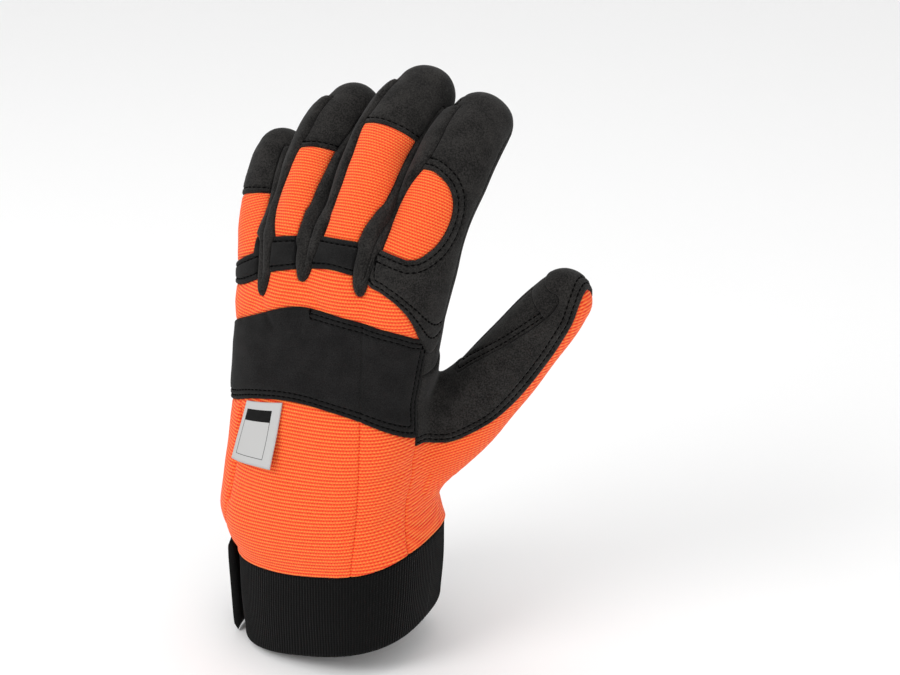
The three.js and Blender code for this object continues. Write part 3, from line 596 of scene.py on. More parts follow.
def polygon_distance(px, pz, corners):
    """Signed distance to a closed outline, negative inside."""
    best = np.full(len(px), FAR_OFF)
    inside = np.zeros(len(px), bool)
    for (ax, az), (bx, bz) in zip(corners, list(corners[1:]) + [corners[0]]):
        ex, ez = bx - ax, bz - az
        long = ex * ex + ez * ez
        if long < 1e-9:
            continue
        share = np.clip(((px - ax) * ex + (pz - az) * ez) / long, 0, 1)
        best = np.minimum(best, np.hypot(px - ax - share * ex, pz - az - share * ez))
        crosses = (az > pz) != (bz > pz)
        inside ^= crosses & (px < ax + (pz - az) / (ez or 1e-9) * ex)
    return np.where(inside, -best, best)


def back_points(rows, steps=6):
    """A seam on the back of the hand as a smooth line in X and Z."""
    return catmull([on_hand(*row) for row in rows], steps).tolist()


def thumb_points(rows, steps=5):
    """A seam on the thumb as a smooth line in X and Z."""
    root, reach = digits["thumb"].root, digits["thumb"].reach
    return catmull([(root[0] + across * reach, root[2] + up * reach) for across, up in rows], steps).tolist()


def above(seam):
    """Outline of everything over a seam of the hand."""
    line = back_points(seam)
    left, right = line[0][0] - FAR, line[-1][0] + FAR
    return [(left, line[0][1]), *line, (right, line[-1][1]), (right, FAR_UP), (left, FAR_UP)]


def beyond(line, side, top=FAR_UP):
    """Outline of everything on one side of a line that runs down, up to a height."""
    return [(line[0][0], top), *line, (line[-1][0], 0), (side * FAR, 0), (side * FAR, top)]


def panel_fields(points):
    """Signed distance to each panel, ways along and round each digit, and distances to inner seams."""
    x, y, z = points.T
    measured = {name: digit.measure(points, exact=True) for name, digit in digits.items()}
    nearest = np.sort(np.array([measured[name][0] for name in FINGERS]), axis=0)

    def flat(name):
        """Way along the digit and round it, in millimetres."""
        digit = digits[name]
        _, t, beyond_tip, degrees = measured[name]
        turn = (degrees + 90) % 360 - 180
        along = digit.length_at(t) + np.where(t > 0.999, np.maximum(beyond_tip, 0), 0)
        return np.radians(turn) * digit.radius_at(t), along

    flats = {name: flat(name) for name in digits}

    def across_digit(name, outline):
        """Panel inside an outline of (t, degrees) on a digit."""
        digit = digits[name]
        corners = [(math.radians(degrees - 90) * digit.radius_at(t), float(digit.length_at(t)))
                   for t, degrees in outline]
        inside = polygon_distance(*flats[name], corners)
        own = measured[name][0]
        if name in FINGERS:
            others = np.where(own <= nearest[0], nearest[1], nearest[0])
            inside = np.maximum(inside, (own - others) / 2)
        return np.maximum(inside, own - DIGIT_PANEL_REACH * digit.radius_at(0.5))

    def round_digit(name, rows):
        """Panel between two angles along a digit."""
        return across_digit(name, [(t, low) for t, low, _ in rows] + [(t, high) for t, _, high in rows[::-1]])

    def through(outline, behind):
        """Panel inside an outline in X and Z, in front of a depth."""
        return np.maximum(polygon_distance(x, z, outline), y - behind)

    side_of_hand = SIDE_SHARE * KNUCKLE_DEPTH / 2 + SIDE_LEAN * x
    side_of_thumb = digits["thumb"].centre_at(THUMB_SEAM_AT)[1] + THUMB_SEAM_BEHIND
    fields, marks = {}, {}
    for name, spec in FOURCHETTES.items():
        walls = []
        for key in ("ulnar", "radial"):
            digit, edge = spec[key]
            ts, degrees = zip(*edge)
            rows = [(t, float(np.interp(t, ts, degrees))) for t in np.linspace(WEB_START, WEB_END, WEB_STEPS)]
            if key == "ulnar":
                walls.append(round_digit(digit, [(t, -WEB_PALM_DEGREES, at) for t, at in rows]))
            else:
                walls.append(round_digit(digit, [(t, at, 180 + WEB_PALM_DEGREES) for t, at in rows]))
        walls.append(through(back_points(spec["tongue"], 4), PANEL_BEHIND * KNUCKLE_DEPTH))
        wall = soft_min(walls[0], walls[2], NOTCH_FILL)
        fields[f"fourchette_{name}"] = soft_min(wall, walls[1], NOTCH_FILL)
        line = back_points(spec["crease"], 4)
        between = (measured[spec["ulnar"][0]][0] - measured[spec["radial"][0]][0]) / 2
        low, high = (height_at(up) for up in CREASE_SWITCH)
        share = np.clip((z - low) / (high - low), 0, 1)
        marks[f"crease_{name}"] = mix(polygon_distance(x, z, beyond(line, -1)), between, share)
    fields["index_patch"] = round_digit("index", catmull(INDEX_PATCH, 4))
    for name, cap in CAP_START.items():
        tip = zip((cap[0], WEB_END, PAST_TIP, PAST_TIP, WEB_END, cap[1]), np.repeat(TIP_WRAP, 3).tolist())
        back = zip((BACK_START[name][0], *cap, BACK_START[name][1]), np.repeat(BACK_WRAP, 2).tolist())
        fields[f"{name}_tip"] = across_digit(name, list(tip))
        fields[f"{name}_back"] = across_digit(name, list(back))
    edge = back_points(SIDE_PANEL_EDGE)
    beside = [*edge, (FAR, edge[-1][1]), (FAR, FAR_UP), (edge[0][0], FAR_UP)]
    fields["index_side_panel"] = np.minimum(
        through(beside, PANEL_BEHIND * KNUCKLE_DEPTH), round_digit("index", INDEX_WRAP)
    )
    fields["knuckle_strip"] = through(above(STRIP_BOTTOM), side_of_hand)
    fields["hand_back_upper"] = through(above(BAND_TOP), side_of_hand)
    fields["hand_band"] = through(above(BAND_BOTTOM), side_of_hand)
    ulnar, under_band = back_points(ULNAR_SEAM), height_at(BAND_TOP[0][1])
    fields["side_gusset"] = through(beyond(ulnar, -1, under_band), side_of_hand)
    turn = height_at(THUMB_SIDE_TURN)
    low = np.clip((turn - z) / (turn - HEM), 0, 1)
    side_of_back = side_of_hand - np.where(x > 0, THUMB_SIDE_SHIFT * low, 0)
    fields["hand_back_inner"] = through(beyond(back_points(INNER_SEAM), 1, under_band), side_of_back)
    fields["hand_back_lower"] = through(beyond(ulnar, 1, under_band), side_of_back)
    outer, inner = thumb_points(PATCH_OUTER), thumb_points(PATCH_INNER)
    fields["thumb_patch"] = through([*outer, *inner], side_of_thumb)
    around = [*outer, (2 * FAR, FAR_UP), (2 * FAR, 0), (outer[0][0], 0)]
    fields["thumb_gusset"] = through(around, side_of_thumb)
    fields["thumb_inner"] = round_digit("thumb", THUMB_WALL)
    # Seams that only carry stitches or a crease
    marks["band_seam"] = polygon_distance(x, z, beyond(back_points(BAND_SEAM), 1))
    inward = [*outer, (outer[-1][0], FAR_UP), (-FAR, FAR_UP), (-FAR, outer[0][1])]
    marks["patch_outer"] = -polygon_distance(x, z, inward)
    marks["finger_backs"] = np.minimum.reduce([fields[f"{name}_back"] for name in BACK_START])
    return fields, flats, marks


# Cutting a mesh. Its corners are rows of a table with one column for each thing that is known there

def split(table, triangles, level):
    """Cuts triangles along level = 0: the longer table, its levels, and the triangles below and above."""
    below = level < 0
    count = below[triangles].sum(1)
    inside, outside = [triangles[count == 3]], [triangles[count == 0]]
    cut = triangles[(count == 1) | (count == 2)]
    if len(cut) == 0:
        return table, level, inside[0], outside[0]
    lone = below[cut].sum(1) == 1
    single = below[cut] == lone[:, None]
    turn = single.argmax(1)
    rows = np.arange(len(cut))
    a, b, c = (cut[rows, (turn + k) % 3] for k in range(3))
    ends = np.sort(np.vstack([np.column_stack([a, b]), np.column_stack([a, c])]), axis=1)
    pairs, index = np.unique(ends, axis=0, return_inverse=True)
    index = index.reshape(-1) + len(table)
    la, lb = level[pairs[:, 0]], level[pairs[:, 1]]
    share = (la / (la - lb))[:, None]
    table = np.vstack([table, table[pairs[:, 0]] * (1 - share) + table[pairs[:, 1]] * share])
    level = np.concatenate([level, np.zeros(len(pairs))])
    ab, ac = index[:len(cut)], index[len(cut):]
    tip = np.column_stack([a, ab, ac])
    rest = np.vstack([np.column_stack([ab, b, c]), np.column_stack([ab, c, ac])])
    twice = np.concatenate([lone, lone])
    inside += [tip[lone], rest[~twice]]
    outside += [tip[~lone], rest[twice]]
    return table, level, np.vstack(inside), np.vstack(outside)


def split_both(table, triangles, level):
    """Cuts triangles along level = 0 and keeps both sides."""
    table, _, below, over = split(table, triangles, level)
    return table, np.vstack([below, over])


def compact(table, triangles):
    """Only the corners in use, and the new number of each old one."""
    used = np.unique(triangles)
    number = -np.ones(len(table), int)
    number[used] = np.arange(len(used))
    return table[used], number[triangles], number


def edges_of(triangles):
    return np.vstack([triangles[:, [k, (k + 1) % 3]] for k in range(3)])


def border(triangles):
    """Edges with a triangle on one side only, in its direction."""
    edges = edges_of(triangles)
    key = np.sort(edges, axis=1)
    _, first, count = np.unique(key, axis=0, return_index=True, return_counts=True)
    return edges[first[count == 1]]


def chains(edges):
    """Lines of corners through the edges."""
    links = {}
    for a, b in edges.tolist():
        links.setdefault(a, []).append(b)
        links.setdefault(b, []).append(a)
    lines = []
    starts = [a for a, ends in links.items() if len(ends) == 1] + list(links)
    for start in starts:
        while links.get(start):
            line = [start]
            while links.get(line[-1]):
                here = line[-1]
                ahead = links[here].pop(0)
                links[ahead].remove(here)
                line.append(ahead)
            lines.append(line)
    return lines


SUEDE, ORANGE, SMOOTH, KNIT, GREY = "suede_black", "cloth_orange", "cloth_black", "knit_black", "label_grey"
ROW_NEAR = 1.5
ROW_FAR = 3.4
ROW_CAP = 1.9
PATCH_ROWS = (1.8, 4.4)
BAND_ROWS_FROM = 4


def rows_at(field, *ways, low_x=-FAR):
    """Rows of stitches (field, way from it, lowest X), in from the panel's own or a neighbour's edge."""
    return [(field, way, low_x) for way in ways]


# Panels in the order in which they are taken from the surface: slot, rise over it and rows of stitches
PANELS = {f"fourchette_{pair}": (SUEDE, 0, []) for pair in FOURCHETTES}
PANELS["index_patch"] = (ORANGE, PATCH_SINK, [])
for name in CAP_START:
    PANELS[f"{name}_tip"] = (SUEDE, CAP_RISE, rows_at(f"{name}_back", ROW_CAP))
    PANELS[f"{name}_back"] = (ORANGE, 0, [])
PANELS["index_side_panel"] = (SUEDE, OVERLAY_RISE, [
    *rows_at("index_patch", *PATCH_ROWS), *rows_at("index_side_panel", ROW_NEAR, ROW_FAR),
])
PANELS["knuckle_strip"] = (SMOOTH, OVERLAY_RISE, [
    *rows_at("knuckle_strip", ROW_CAP), *rows_at("finger_backs", ROW_CAP),
])
PANELS["hand_back_upper"] = (ORANGE, 0, [])
PANELS["hand_band"] = (SMOOTH, OVERLAY_RISE, [
    *rows_at("hand_band", ROW_NEAR, ROW_FAR),
    *rows_at("hand_back_upper", ROW_NEAR, ROW_FAR, low_x=BAND_ROWS_FROM),
])
for name in ("side_gusset", "hand_back_inner", "hand_back_lower"):
    PANELS[name] = (ORANGE, 0, [])
PANELS["thumb_patch"] = (SUEDE, OVERLAY_RISE, rows_at("patch_outer", ROW_NEAR, ROW_FAR))
PANELS["thumb_gusset"] = (ORANGE, 0, [])
PANELS["thumb_inner"] = (SUEDE, 0, rows_at("thumb_patch", ROW_NEAR, ROW_FAR))
PANELS["palm"] = (SUEDE, 0, [])


# Materials

class Look:
    """A material with short ways to add nodes to it."""

    def __init__(self, name):
        self.material = bpy.data.materials.new(name)
        self.material.use_nodes = True
        self.tree = self.material.node_tree

    def fill(self, node, inputs):
        """Sets or links a node's inputs, each given by its name or number."""
        for key, value in inputs.items():
            if isinstance(value, bpy.types.NodeSocket):
                self.tree.links.new(value, node.inputs[key])
            else:
                node.inputs[key].default_value = value

    def node(self, kind, inputs=None):
        node = self.tree.nodes.new(f"ShaderNode{kind}")
        self.fill(node, inputs or {})
        return node

    def math(self, kind, *values):
        node = self.node("Math", dict(enumerate(values)))
        node.operation = kind
        return node.outputs[0]

    def total(self, *terms):
        """Sum of values, each times its share."""
        whole = 0.0
        for value, share in terms:
            whole = self.math("ADD", whole, self.math("MULTIPLY", value, share))
        return whole

    def wave(self, way, pitch, shift=0.0):
        """Sine of a way along the cloth."""
        return self.math("SINE", self.math("ADD", self.math("MULTIPLY", way, 2 * math.pi / pitch), shift))

    def noise(self, scale, detail=2.0, roughness=0.5):
        place = self.node("TexCoord").outputs["Object"]
        inputs = {"Vector": place, "Scale": scale, "Detail": detail, "Roughness": roughness}
        return self.node("TexNoise", inputs).outputs["Fac"]

    def ramp(self, value, stops):
        node = self.node("ValToRGB", {"Fac": value})
        elements = node.color_ramp.elements
        while len(elements) < len(stops):
            elements.new(0.5)
        for element, (place, colour) in zip(elements, stops):
            element.position = place
            element.color = (*colour, 1)
        return node.outputs["Color"]

    def bump(self, height, distance, strength):
        inputs = {"Height": height, "Distance": distance * MM, "Strength": strength}
        return self.node("Bump", inputs).outputs["Normal"]

    def cloth_uv(self):
        """Way across and along the cloth, from its UVs."""
        uv = self.node("UVMap")
        uv.uv_map = "cloth"
        parts = self.node("SeparateXYZ", {0: uv.outputs["UV"]})
        return parts.outputs["X"], parts.outputs["Y"]

    def finish(self, inputs):
        """The material, with these inputs of its shader set or linked."""
        self.fill(self.tree.nodes["Principled BSDF"], inputs)
        return self.material


def suede(name, dark, light, sheen, grain):
    """Napped microfibre: mottled, matt, with a faint sheen."""
    look = Look(name)
    nap = look.noise(1700 * grain, 3, 0.7)
    tone = look.total((nap, 0.75), (look.noise(140), 0.25))
    return look.finish({
        "Base Color": look.ramp(tone, [(0.4, dark), (0.62, light)]),
        "Roughness": 0.92,
        "Specular IOR Level": 0.15,
        "Sheen Weight": sheen,
        "Sheen Roughness": 0.5,
        "Normal": look.bump(nap, 0.12, 0.7),
    })


def ribbed():
    """Stretch cloth with ribs across it and fine threads along it, which shift from rib to rib."""
    look = Look("orange ribbed cloth")
    across, along = look.cloth_uv()
    row = look.math("FLOOR", look.math("MULTIPLY", along, 1 / RIB_PITCH))
    thread = look.wave(across, THREAD_PITCH, look.math("MULTIPLY", row, math.pi))
    height = look.total((look.wave(along, RIB_PITCH), 0.36), (thread, 0.15))
    # Colour: random flecks plus the rib and thread height, which paints shade into the grooves and a
    # highlight on the crests
    tone_with_painted_rib_shade = look.math("ADD", look.total((look.noise(1400, 2, 0.7), 0.5), (height, 1)), 0.25)
    return look.finish({
        "Base Color": look.ramp(tone_with_painted_rib_shade, [
            (0.0, (0.76, 0.022, 0.004)), (0.5, (0.96, 0.1, 0.016)), (1.0, (1.0, 0.27, 0.05)),
        ]),
        "Roughness": 0.75,
        "Specular IOR Level": 0.3,
        "Sheen Weight": 0.05,
        "Normal": look.bump(height, 0.45, 0.9),
    })


def knit():
    """Fine knit with ribs up it."""
    look = Look("knit")
    across, along = look.cloth_uv()
    height = look.total((look.wave(across, CUFF_RIB), 0.35), (look.wave(along, CUFF_LOOP), 0.12))
    # Colour: random flecks plus the rib and loop height, which paints shade into the grooves and a highlight
    # on the crests
    tone_with_painted_rib_shade = look.math("ADD", look.total((look.noise(1100, 3, 0.6), 0.5), (height, 1)), 0.25)
    return look.finish({
        "Base Color": look.ramp(tone_with_painted_rib_shade, [(0.0, (0.0005, 0.0005, 0.0005)), (1.0, (0.0045, 0.0045, 0.0045))]),
        "Roughness": 0.95,
        "Specular IOR Level": 0.12,
        "Sheen Weight": 0.04,
        "Normal": look.bump(height, 0.3, 0.8),
    })


MATERIALS = {
    SUEDE: suede("suede", (0.003, 0.0028, 0.0026), (0.028, 0.026, 0.0245), 0.06, 1.0),
    ORANGE: ribbed(),
    SMOOTH: suede("smooth black cloth", (0.003, 0.003, 0.003), (0.013, 0.0125, 0.0125), 0.03, 1.5),
    KNIT: knit(),
}
# Near-black thread: partly the yarn's own black, partly painted shade of the stitch holes and grooves
THREAD = Look("thread").finish({
    "Base Color": (0.001, 0.001, 0.001, 1),
    "Roughness": 0.95,
    "Specular IOR Level": 0.05,
})


# Objects

def make_object(name, points, faces, materials, smooth=None, index=None, uv=None):
    mesh = bpy.data.meshes.new(name)
    mesh.from_pydata((np.asarray(points) * MM).tolist(), [], faces)
    count = len(mesh.polygons)
    mesh.polygons.foreach_set("use_smooth", np.ones(count, bool) if smooth is None else smooth)
    for made in materials:
        mesh.materials.append(made)
    if index is not None:
        mesh.polygons.foreach_set("material_index", index)
    if uv is not None:
        corner = np.zeros(len(mesh.loops), int)
        mesh.loops.foreach_get("vertex_index", corner)
        layer = mesh.uv_layers.new(name="cloth")
        layer.data.foreach_set("uv", np.asarray(uv, np.float32)[corner].ravel())
    obj = bpy.data.objects.new(name, mesh)
    bpy.context.scene.collection.objects.link(obj)
    return obj


# A stitch's rings of points: place along it as a share of its length, size and lift
STITCH_STOPS = [(-0.38, 0.8, -0.06), (0, 1.0, 0.05), (0.38, 0.8, -0.06)]


def stitch(centre, along, normal):
    """One stitch: a short thread that dips into the cloth at both ends, as points and triangles."""
    across = np.cross(along, normal)
    points = [centre - along * STITCH_LENGTH / 2 - normal * THREAD_RADIUS]
    for place, size, lift in STITCH_STOPS:
        for k in range(STITCH_SIDES):
            angle = 2 * math.pi * k / STITCH_SIDES
            points.append(centre + along * place * STITCH_LENGTH + normal * lift
                          + THREAD_RADIUS * size * (across * math.cos(angle) + normal * math.sin(angle)))
    points.append(centre + along * STITCH_LENGTH / 2 - normal * THREAD_RADIUS)
    faces = []
    last = len(points) - 1
    end = last - STITCH_SIDES
    for k in range(STITCH_SIDES):
        j = (k + 1) % STITCH_SIDES
        faces.append((0, 1 + j, 1 + k))
        for a in range(1, end, STITCH_SIDES):
            b = a + STITCH_SIDES
            faces.append((a + k, a + j, b + j))
            faces.append((a + k, b + j, b + k))
        faces.append((end + k, end + j, last))
    return np.array(points), np.array(faces)


def stitch_row(points, normals):
    """Stitches at even steps along a line."""
    run = run_of(points)
    count = int(run[-1] // STITCH_PITCH)
    made = []
    for k in range(count):
        place = (k + 0.5) * run[-1] / count
        normal = unit(row_at(place, run, normals))
        along = row_at(place + STITCH_SIGHT, run, points) - row_at(place - STITCH_SIGHT, run, points)
        along = unit(along - normal * (along @ normal))
        made.append(stitch(row_at(place, run, points) + normal * THREAD_RADIUS / 2, along, normal))
    return made


def join(parts):
    """Several (points, faces) as one."""
    points, faces, start = [], [], 0
    for some, tris in parts:
        points.append(some)
        faces.append(np.asarray(tris) + start)
        start += len(some)
    return np.vstack(points), np.vstack(faces)


# Height of a panel by the way in from its edge: a raised one has a turned-in edge, any other dips to its seam
RAISED_EDGE = ([0, 0.25, 0.6, 1.1, 6], [-0.6, -0.18, 0, 0, 0.25])
PLAIN_EDGE = ([0, 0.35, 1.2, 6], [-0.75, -0.35, -0.05, 0.25])
CREASE_STEPS = (-1.7, -0.7, 0, 0.7, 1.7)
SEAM_STEPS = (-0.6, 0, 0.6)
POINT, NORMAL = slice(0, 3), slice(3, 6)


def swell(way, reach):
    """A rounded shoulder: 0 at the edge and 1 from reach on."""
    return np.sqrt(1 - (1 - np.clip(way / reach, 0, 1)) ** 2)


def extra_lift(name, table, columns, way):
    """Rolls, pads and creases of a panel."""
    if name.startswith("fourchette_"):
        pair = name.removeprefix("fourchette_")
        off = np.abs(table[:, columns[f"crease_{pair}"]])
        end = height_at(FOURCHETTES[pair]["crease"][-1][1])
        shown = np.clip((table[:, 2] - end) / CREASE_FADE, 0, 1)
        ridge = SEAM_RIDGE * np.clip(1 - off / CREASE_STEPS[-2], 0, 1)
        parted = mix(1, swell(off, CREASE_SHOULDER), shown)
        return ROLL_RISE * swell(way, ROLL_SHOULDER) * parted + ridge * shown
    if name == "knuckle_strip":
        inside = np.minimum(-table[:, columns[name]], table[:, columns["finger_backs"]]) - ROW_CAP - PAD_INSET
        flat_end = np.clip((table[:, 0] / (KNUCKLE_WIDTH / 2) - PAD_END) / PAD_FADE, 0, 1)
        return PAD_RISE * flat_end * swell(np.minimum(inside, way), PAD_SHOULDER)
    if name == "hand_band":
        return -BAND_CREASE_DEPTH * np.exp(-(table[:, columns["band_seam"]] / BAND_CREASE_REACH) ** 2)
    return 0


# Folds and dents on the back of the hand: both ends as (across, up), then reach and depth in millimetres
FOLDS = [
    ((-0.7, 0.42), (-0.86, 0.14), 1.5, 0.9),
    ((-0.5, 0.76), (-0.72, 0.7), 1.4, 0.5),
    ((-0.44, 0.765), (-0.3, 0.71), 1.4, 0.6),
    ((-0.06, 0.835), (-0.2, 0.8), 1.4, 0.4),
    ((0.05, 0.835), (0.18, 0.79), 1.4, 0.5),
    ((0.57, 0.815), (0.44, 0.79), 1.4, 0.4),
    ((0.98, 0.33), (0.7, 0.27), 2.2, 0.5),
    ((0.97, 0.24), (0.72, 0.13), 2.2, 0.5),
]


# Waves in the cloth: height, then how long two crossing waves are across and up, and up and out
WAVES = [(0.22, (7.1, 11.3), 0, (9.7, -8.3)), (0.14, (3.9, -6.1), 1.3, (4.7, 5.9))]


def folds(points):
    """Soft unevenness of the cloth over the hand."""
    x, y, z = points.T
    soft = np.zeros(len(points))
    for height, (a, b), turn, (c, d) in WAVES:
        soft += height * np.sin(x / a + z / b + turn) * np.sin(z / c + y / d)
    for start, end, reach, depth in FOLDS:
        (ax, az), (bx, bz) = on_hand(*start), on_hand(*end)
        ex, ez = bx - ax, bz - az
        share = np.clip(((x - ax) * ex + (z - az) * ez) / (ex ** 2 + ez ** 2), 0, 1)
        off = np.hypot(x - ax - share * ex, z - az - share * ez)
        soft -= np.where(y < 0, depth * np.exp(-(off / reach) ** 2), 0)
    return soft


def build_panel(name, table, triangles, columns, taken):
    """One panel: its outer face with edges, grooves and stitches, its lining and the rim between them."""
    slot, rise, rows = PANELS[name]
    profile = RAISED_EDGE if slot != ORANGE and rise > 0 else PLAIN_EDGE
    sides = [(columns[name], -1)] if name in columns else []
    sides += [(columns[other], 1) for other in taken]

    def way():
        return np.minimum.reduce([sign * table[:, column] for column, sign in sides])

    def way_from(field):
        return table[:, columns[field]] * (-1 if field == name else 1)

    for step in profile[0][1:-1]:
        table, triangles = split_both(table, triangles, way() - step)
    crease, steps = None, ()
    if name.startswith("fourchette_"):
        table, triangles = split_both(table, triangles, way() - ROLL_SHOULDER)
        crease, steps = columns["crease_" + name.removeprefix("fourchette_")], CREASE_STEPS
    elif name == "hand_band":
        crease, steps = columns["band_seam"], SEAM_STEPS
    for step in steps:
        table, triangles = split_both(table, triangles, table[:, crease] - step)
    lines = []
    for field, offset, low_x in rows:
        for step in (offset - GROOVE_HALF, offset, offset + GROOVE_HALF):
            clear = np.where(table[:, 0] > low_x, way_from(field) - step, 1.0)
            table, level, below, over = split(table, triangles, clear)
            triangles = np.vstack([below, over])
            if step == offset:
                edges = edges_of(triangles)
                lines += chains(np.unique(np.sort(edges[(level == 0)[edges].all(1)], axis=1), axis=0))
    table, triangles, number = compact(table, triangles)
    lift = rise + np.interp(way(), *profile)
    for field, offset, low_x in rows:
        off = np.abs(way_from(field) - offset) / GROOVE_HALF
        here = (table[:, 0] > low_x) & (way() > GROOVE_HALF)
        lift -= np.where(here, GROOVE_DEPTH * np.clip(1 - off, 0, 1), 0)
    normals = unit(table[:, NORMAL])
    lift = lift + extra_lift(name, table, columns, way()) + folds(table[:, POINT])
    outer = table[:, POINT] + normals * lift[:, None]
    inner = table[:, POINT] - normals * PANEL_WALL
    count = len(outer)
    rim = border(triangles)
    rim = np.column_stack([rim[:, 1], rim[:, 0], rim[:, 0] + count, rim[:, 1] + count])
    stitches = []
    for line in lines:
        line = number[np.array(line)]
        line = line[line >= 0]
        if len(line) > SHORTEST_ROW:
            stitches += stitch_row(outer[line], normals[line])
    faces = triangles.tolist() + (triangles[:, ::-1] + count).tolist() + rim.tolist()
    smooth = [True] * (2 * len(triangles)) + [False] * len(rim)
    points = np.vstack([outer, inner])
    index = [0] * len(faces)
    if stitches:
        thread_points, thread_faces = join(stitches)
        faces += (thread_faces + len(points)).tolist()
        index += [1] * len(thread_faces)
        smooth += [True] * len(thread_faces)
        points = np.vstack([points, thread_points])
    uv = np.zeros((len(points), 2))
    cloth = "gusset" if name == "thumb_gusset" else name.split("_")[0]
    spot = columns["cloth"].get(cloth, columns["cloth"]["hand"])
    uv[:count] = uv[count:2 * count] = table[:, spot:spot + 2]
    return make_object(name, points, faces, [MATERIALS[slot], THREAD], smooth, index, uv)


def section_point(degrees, outset, z=HEM):
    """A point of the cuff's section at a height, pushed out."""
    x, y, a, b = (float(v) for v in hand_section(HEM))
    power = 2 / mix(CUFF_SQUARENESS, SQUARENESS, z / HEM)
    a -= CUFF_TAPER * (1 - z / HEM)
    angle = np.radians(degrees)
    c, s = (np.sign(share) * np.abs(share) ** power for share in (np.cos(angle), np.sin(angle)))
    return x + (a + outset) * c, y + (b + outset) * s


def even_degrees(count):
    """Angles round the hem's section at even steps of its length."""
    degrees = np.linspace(0, 360, 4 * 360 + 1)
    run = run_of(np.column_stack(section_point(degrees, 0)))
    return np.interp(np.linspace(0, run[-1], count + 1)[:-1], run, degrees)


def ring_normal(degrees):
    """Outward normal of the hem's section."""
    ax, ay = section_point(degrees - 0.5, 0)
    bx, by = section_point(degrees + 0.5, 0)
    return unit(np.column_stack([by - ay, ax - bx]))


CUFF_RIBS = 204
CUFF_RIB_STEPS = 6
CUFF_RIB_RISE = 0.09
CUFF_RIB_SINK = 0.05
CUFF_BULGE = 0.5
CUFF_INSET = 0.4
CUFF_TOP = HEM - 0.2


def cuff_object():
    """Knit cuff: a folded tube with fine ribs up it."""
    count = CUFF_RIBS * CUFF_RIB_STEPS
    degrees = even_degrees(count)
    out = ring_normal(degrees)
    half = CUFF_WALL / 2
    outside = [(0, z) for z in np.linspace(CUFF_TOP, half, 26)]
    fold = [(half * math.cos(a) - half, half - half * math.sin(a)) for a in np.linspace(0, math.pi, 7)[1:-1]]
    inside = [(-CUFF_WALL, z) for z in np.linspace(half, CUFF_TOP, 12)]
    rows = outside + fold + inside
    ribs = CUFF_RIB_RISE * np.cos(np.arange(count) * 2 * math.pi / CUFF_RIB_STEPS) - CUFF_RIB_SINK
    points, uv = [], []
    for row, (inset, z) in enumerate(rows):
        bulge = CUFF_BULGE * math.sin(math.pi * z / HEM) ** 2 - CUFF_INSET
        lift = inset + (ribs if row <= len(outside) else 0 * ribs) + bulge
        x, y = section_point(degrees, 0, z)
        px, py = x + out[:, 0] * lift, y + out[:, 1] * lift
        points.append(np.column_stack([px, py, leaned(px, py, z * hem_at(px) / HEM)]))
        uv.append(np.column_stack([np.linspace(0, CUFF_RIBS * CUFF_RIB, count), np.full(count, z)]))
    faces = []
    for i in range(len(rows)):
        here, ahead = i * count, (i + 1) % len(rows) * count
        for k in range(count):
            j = (k + 1) % count
            faces.append((here + k, ahead + k, ahead + j, here + j))
    return make_object("cuff", np.vstack(points), faces, [MATERIALS[KNIT]], uv=np.vstack(uv))


# Pull strap: degrees round the cuff from the palm to its free end, its stand-off and its height as shares
STRAP_STATIONS = [(92, 0, 1), (150, 0, 1), (178, 0.1, 1), (190, 0.4, 1), (199, 0.8, 1), (204.5, 0.98, 1),
                  (206.5, 1, 0.97), (207.4, 1, 0.9)]
STRAP_HEIGHT = 38
STRAP_THICKNESS = 2.8
STRAP_STAND_OFF = 1.0
STRAP_CLEARANCE = 0.6
STRAP_EDGE_POWER = 12
STRAP_MM_PER_DEGREE = 0.7
STRAP_STEPS = 14


def strap_object():
    """Pull strap: a thick strip with round edges, which leaves the cuff towards its free end."""
    rows = catmull(STRAP_STATIONS, 8)
    half = STRAP_THICKNESS / 2
    points, uv = [], []
    for degrees, off, tall in rows:
        near = STRAP_CLEARANCE + off * STRAP_STAND_OFF
        low, high = (HEM - tall * STRAP_HEIGHT) / 2, (HEM + tall * STRAP_HEIGHT) / 2
        out = ring_normal(np.array([degrees]))[0]
        edge = []
        for share in np.linspace(0, 1, STRAP_STEPS + 1):
            edge.append((half * math.sqrt(1 - (2 * share - 1) ** STRAP_EDGE_POWER), mix(low, high, share)))
        loop = [(half + reach, z) for reach, z in edge] + [(half - reach, z) for reach, z in edge[-2:0:-1]]
        for depth, z in loop:
            x, y = section_point(degrees, near, z)
            px, py = x + out[0] * depth, y + out[1] * depth
            points.append((px, py, float(leaned(px, py, z))))
            uv.append((degrees * STRAP_MM_PER_DEGREE, z))
    count = 2 * STRAP_STEPS
    last = (len(rows) - 1) * count
    faces = []
    for here in range(0, last, count):
        for k in range(count):
            a, b = here + k, here + (k + 1) % count
            faces.append((a, b, b + count, a + count))
    faces.append(tuple(range(count - 1, -1, -1)))
    faces.append(tuple(range(last, last + count)))
    return make_object("wrist_strap", points, faces, [MATERIALS[KNIT]], uv=uv)


# Label: its corners as (across, up), its thickness and the curl of its free end
LABEL_CORNERS = [(-0.603, 0.457), (-0.172, 0.484), (-0.25, 0.297), (-0.79, 0.275)]
LABEL_LIFT = 0.7
LABEL_THICKNESS = 0.48
LABEL_CURL = 1.6
LABEL_WAVE = 0.25
LABEL_TUCK = -0.06
# Left, right, top and bottom of the dark bar and of the frame's outer and inner edge, as shares
LABEL_BAR = (0.09, 0.78, 0.07, 0.27)
LABEL_FRAME_OUTER = (0.09, 0.78, 0.07, 0.88)
LABEL_FRAME_INNER = (0.105, 0.765, 0.08, 0.868)


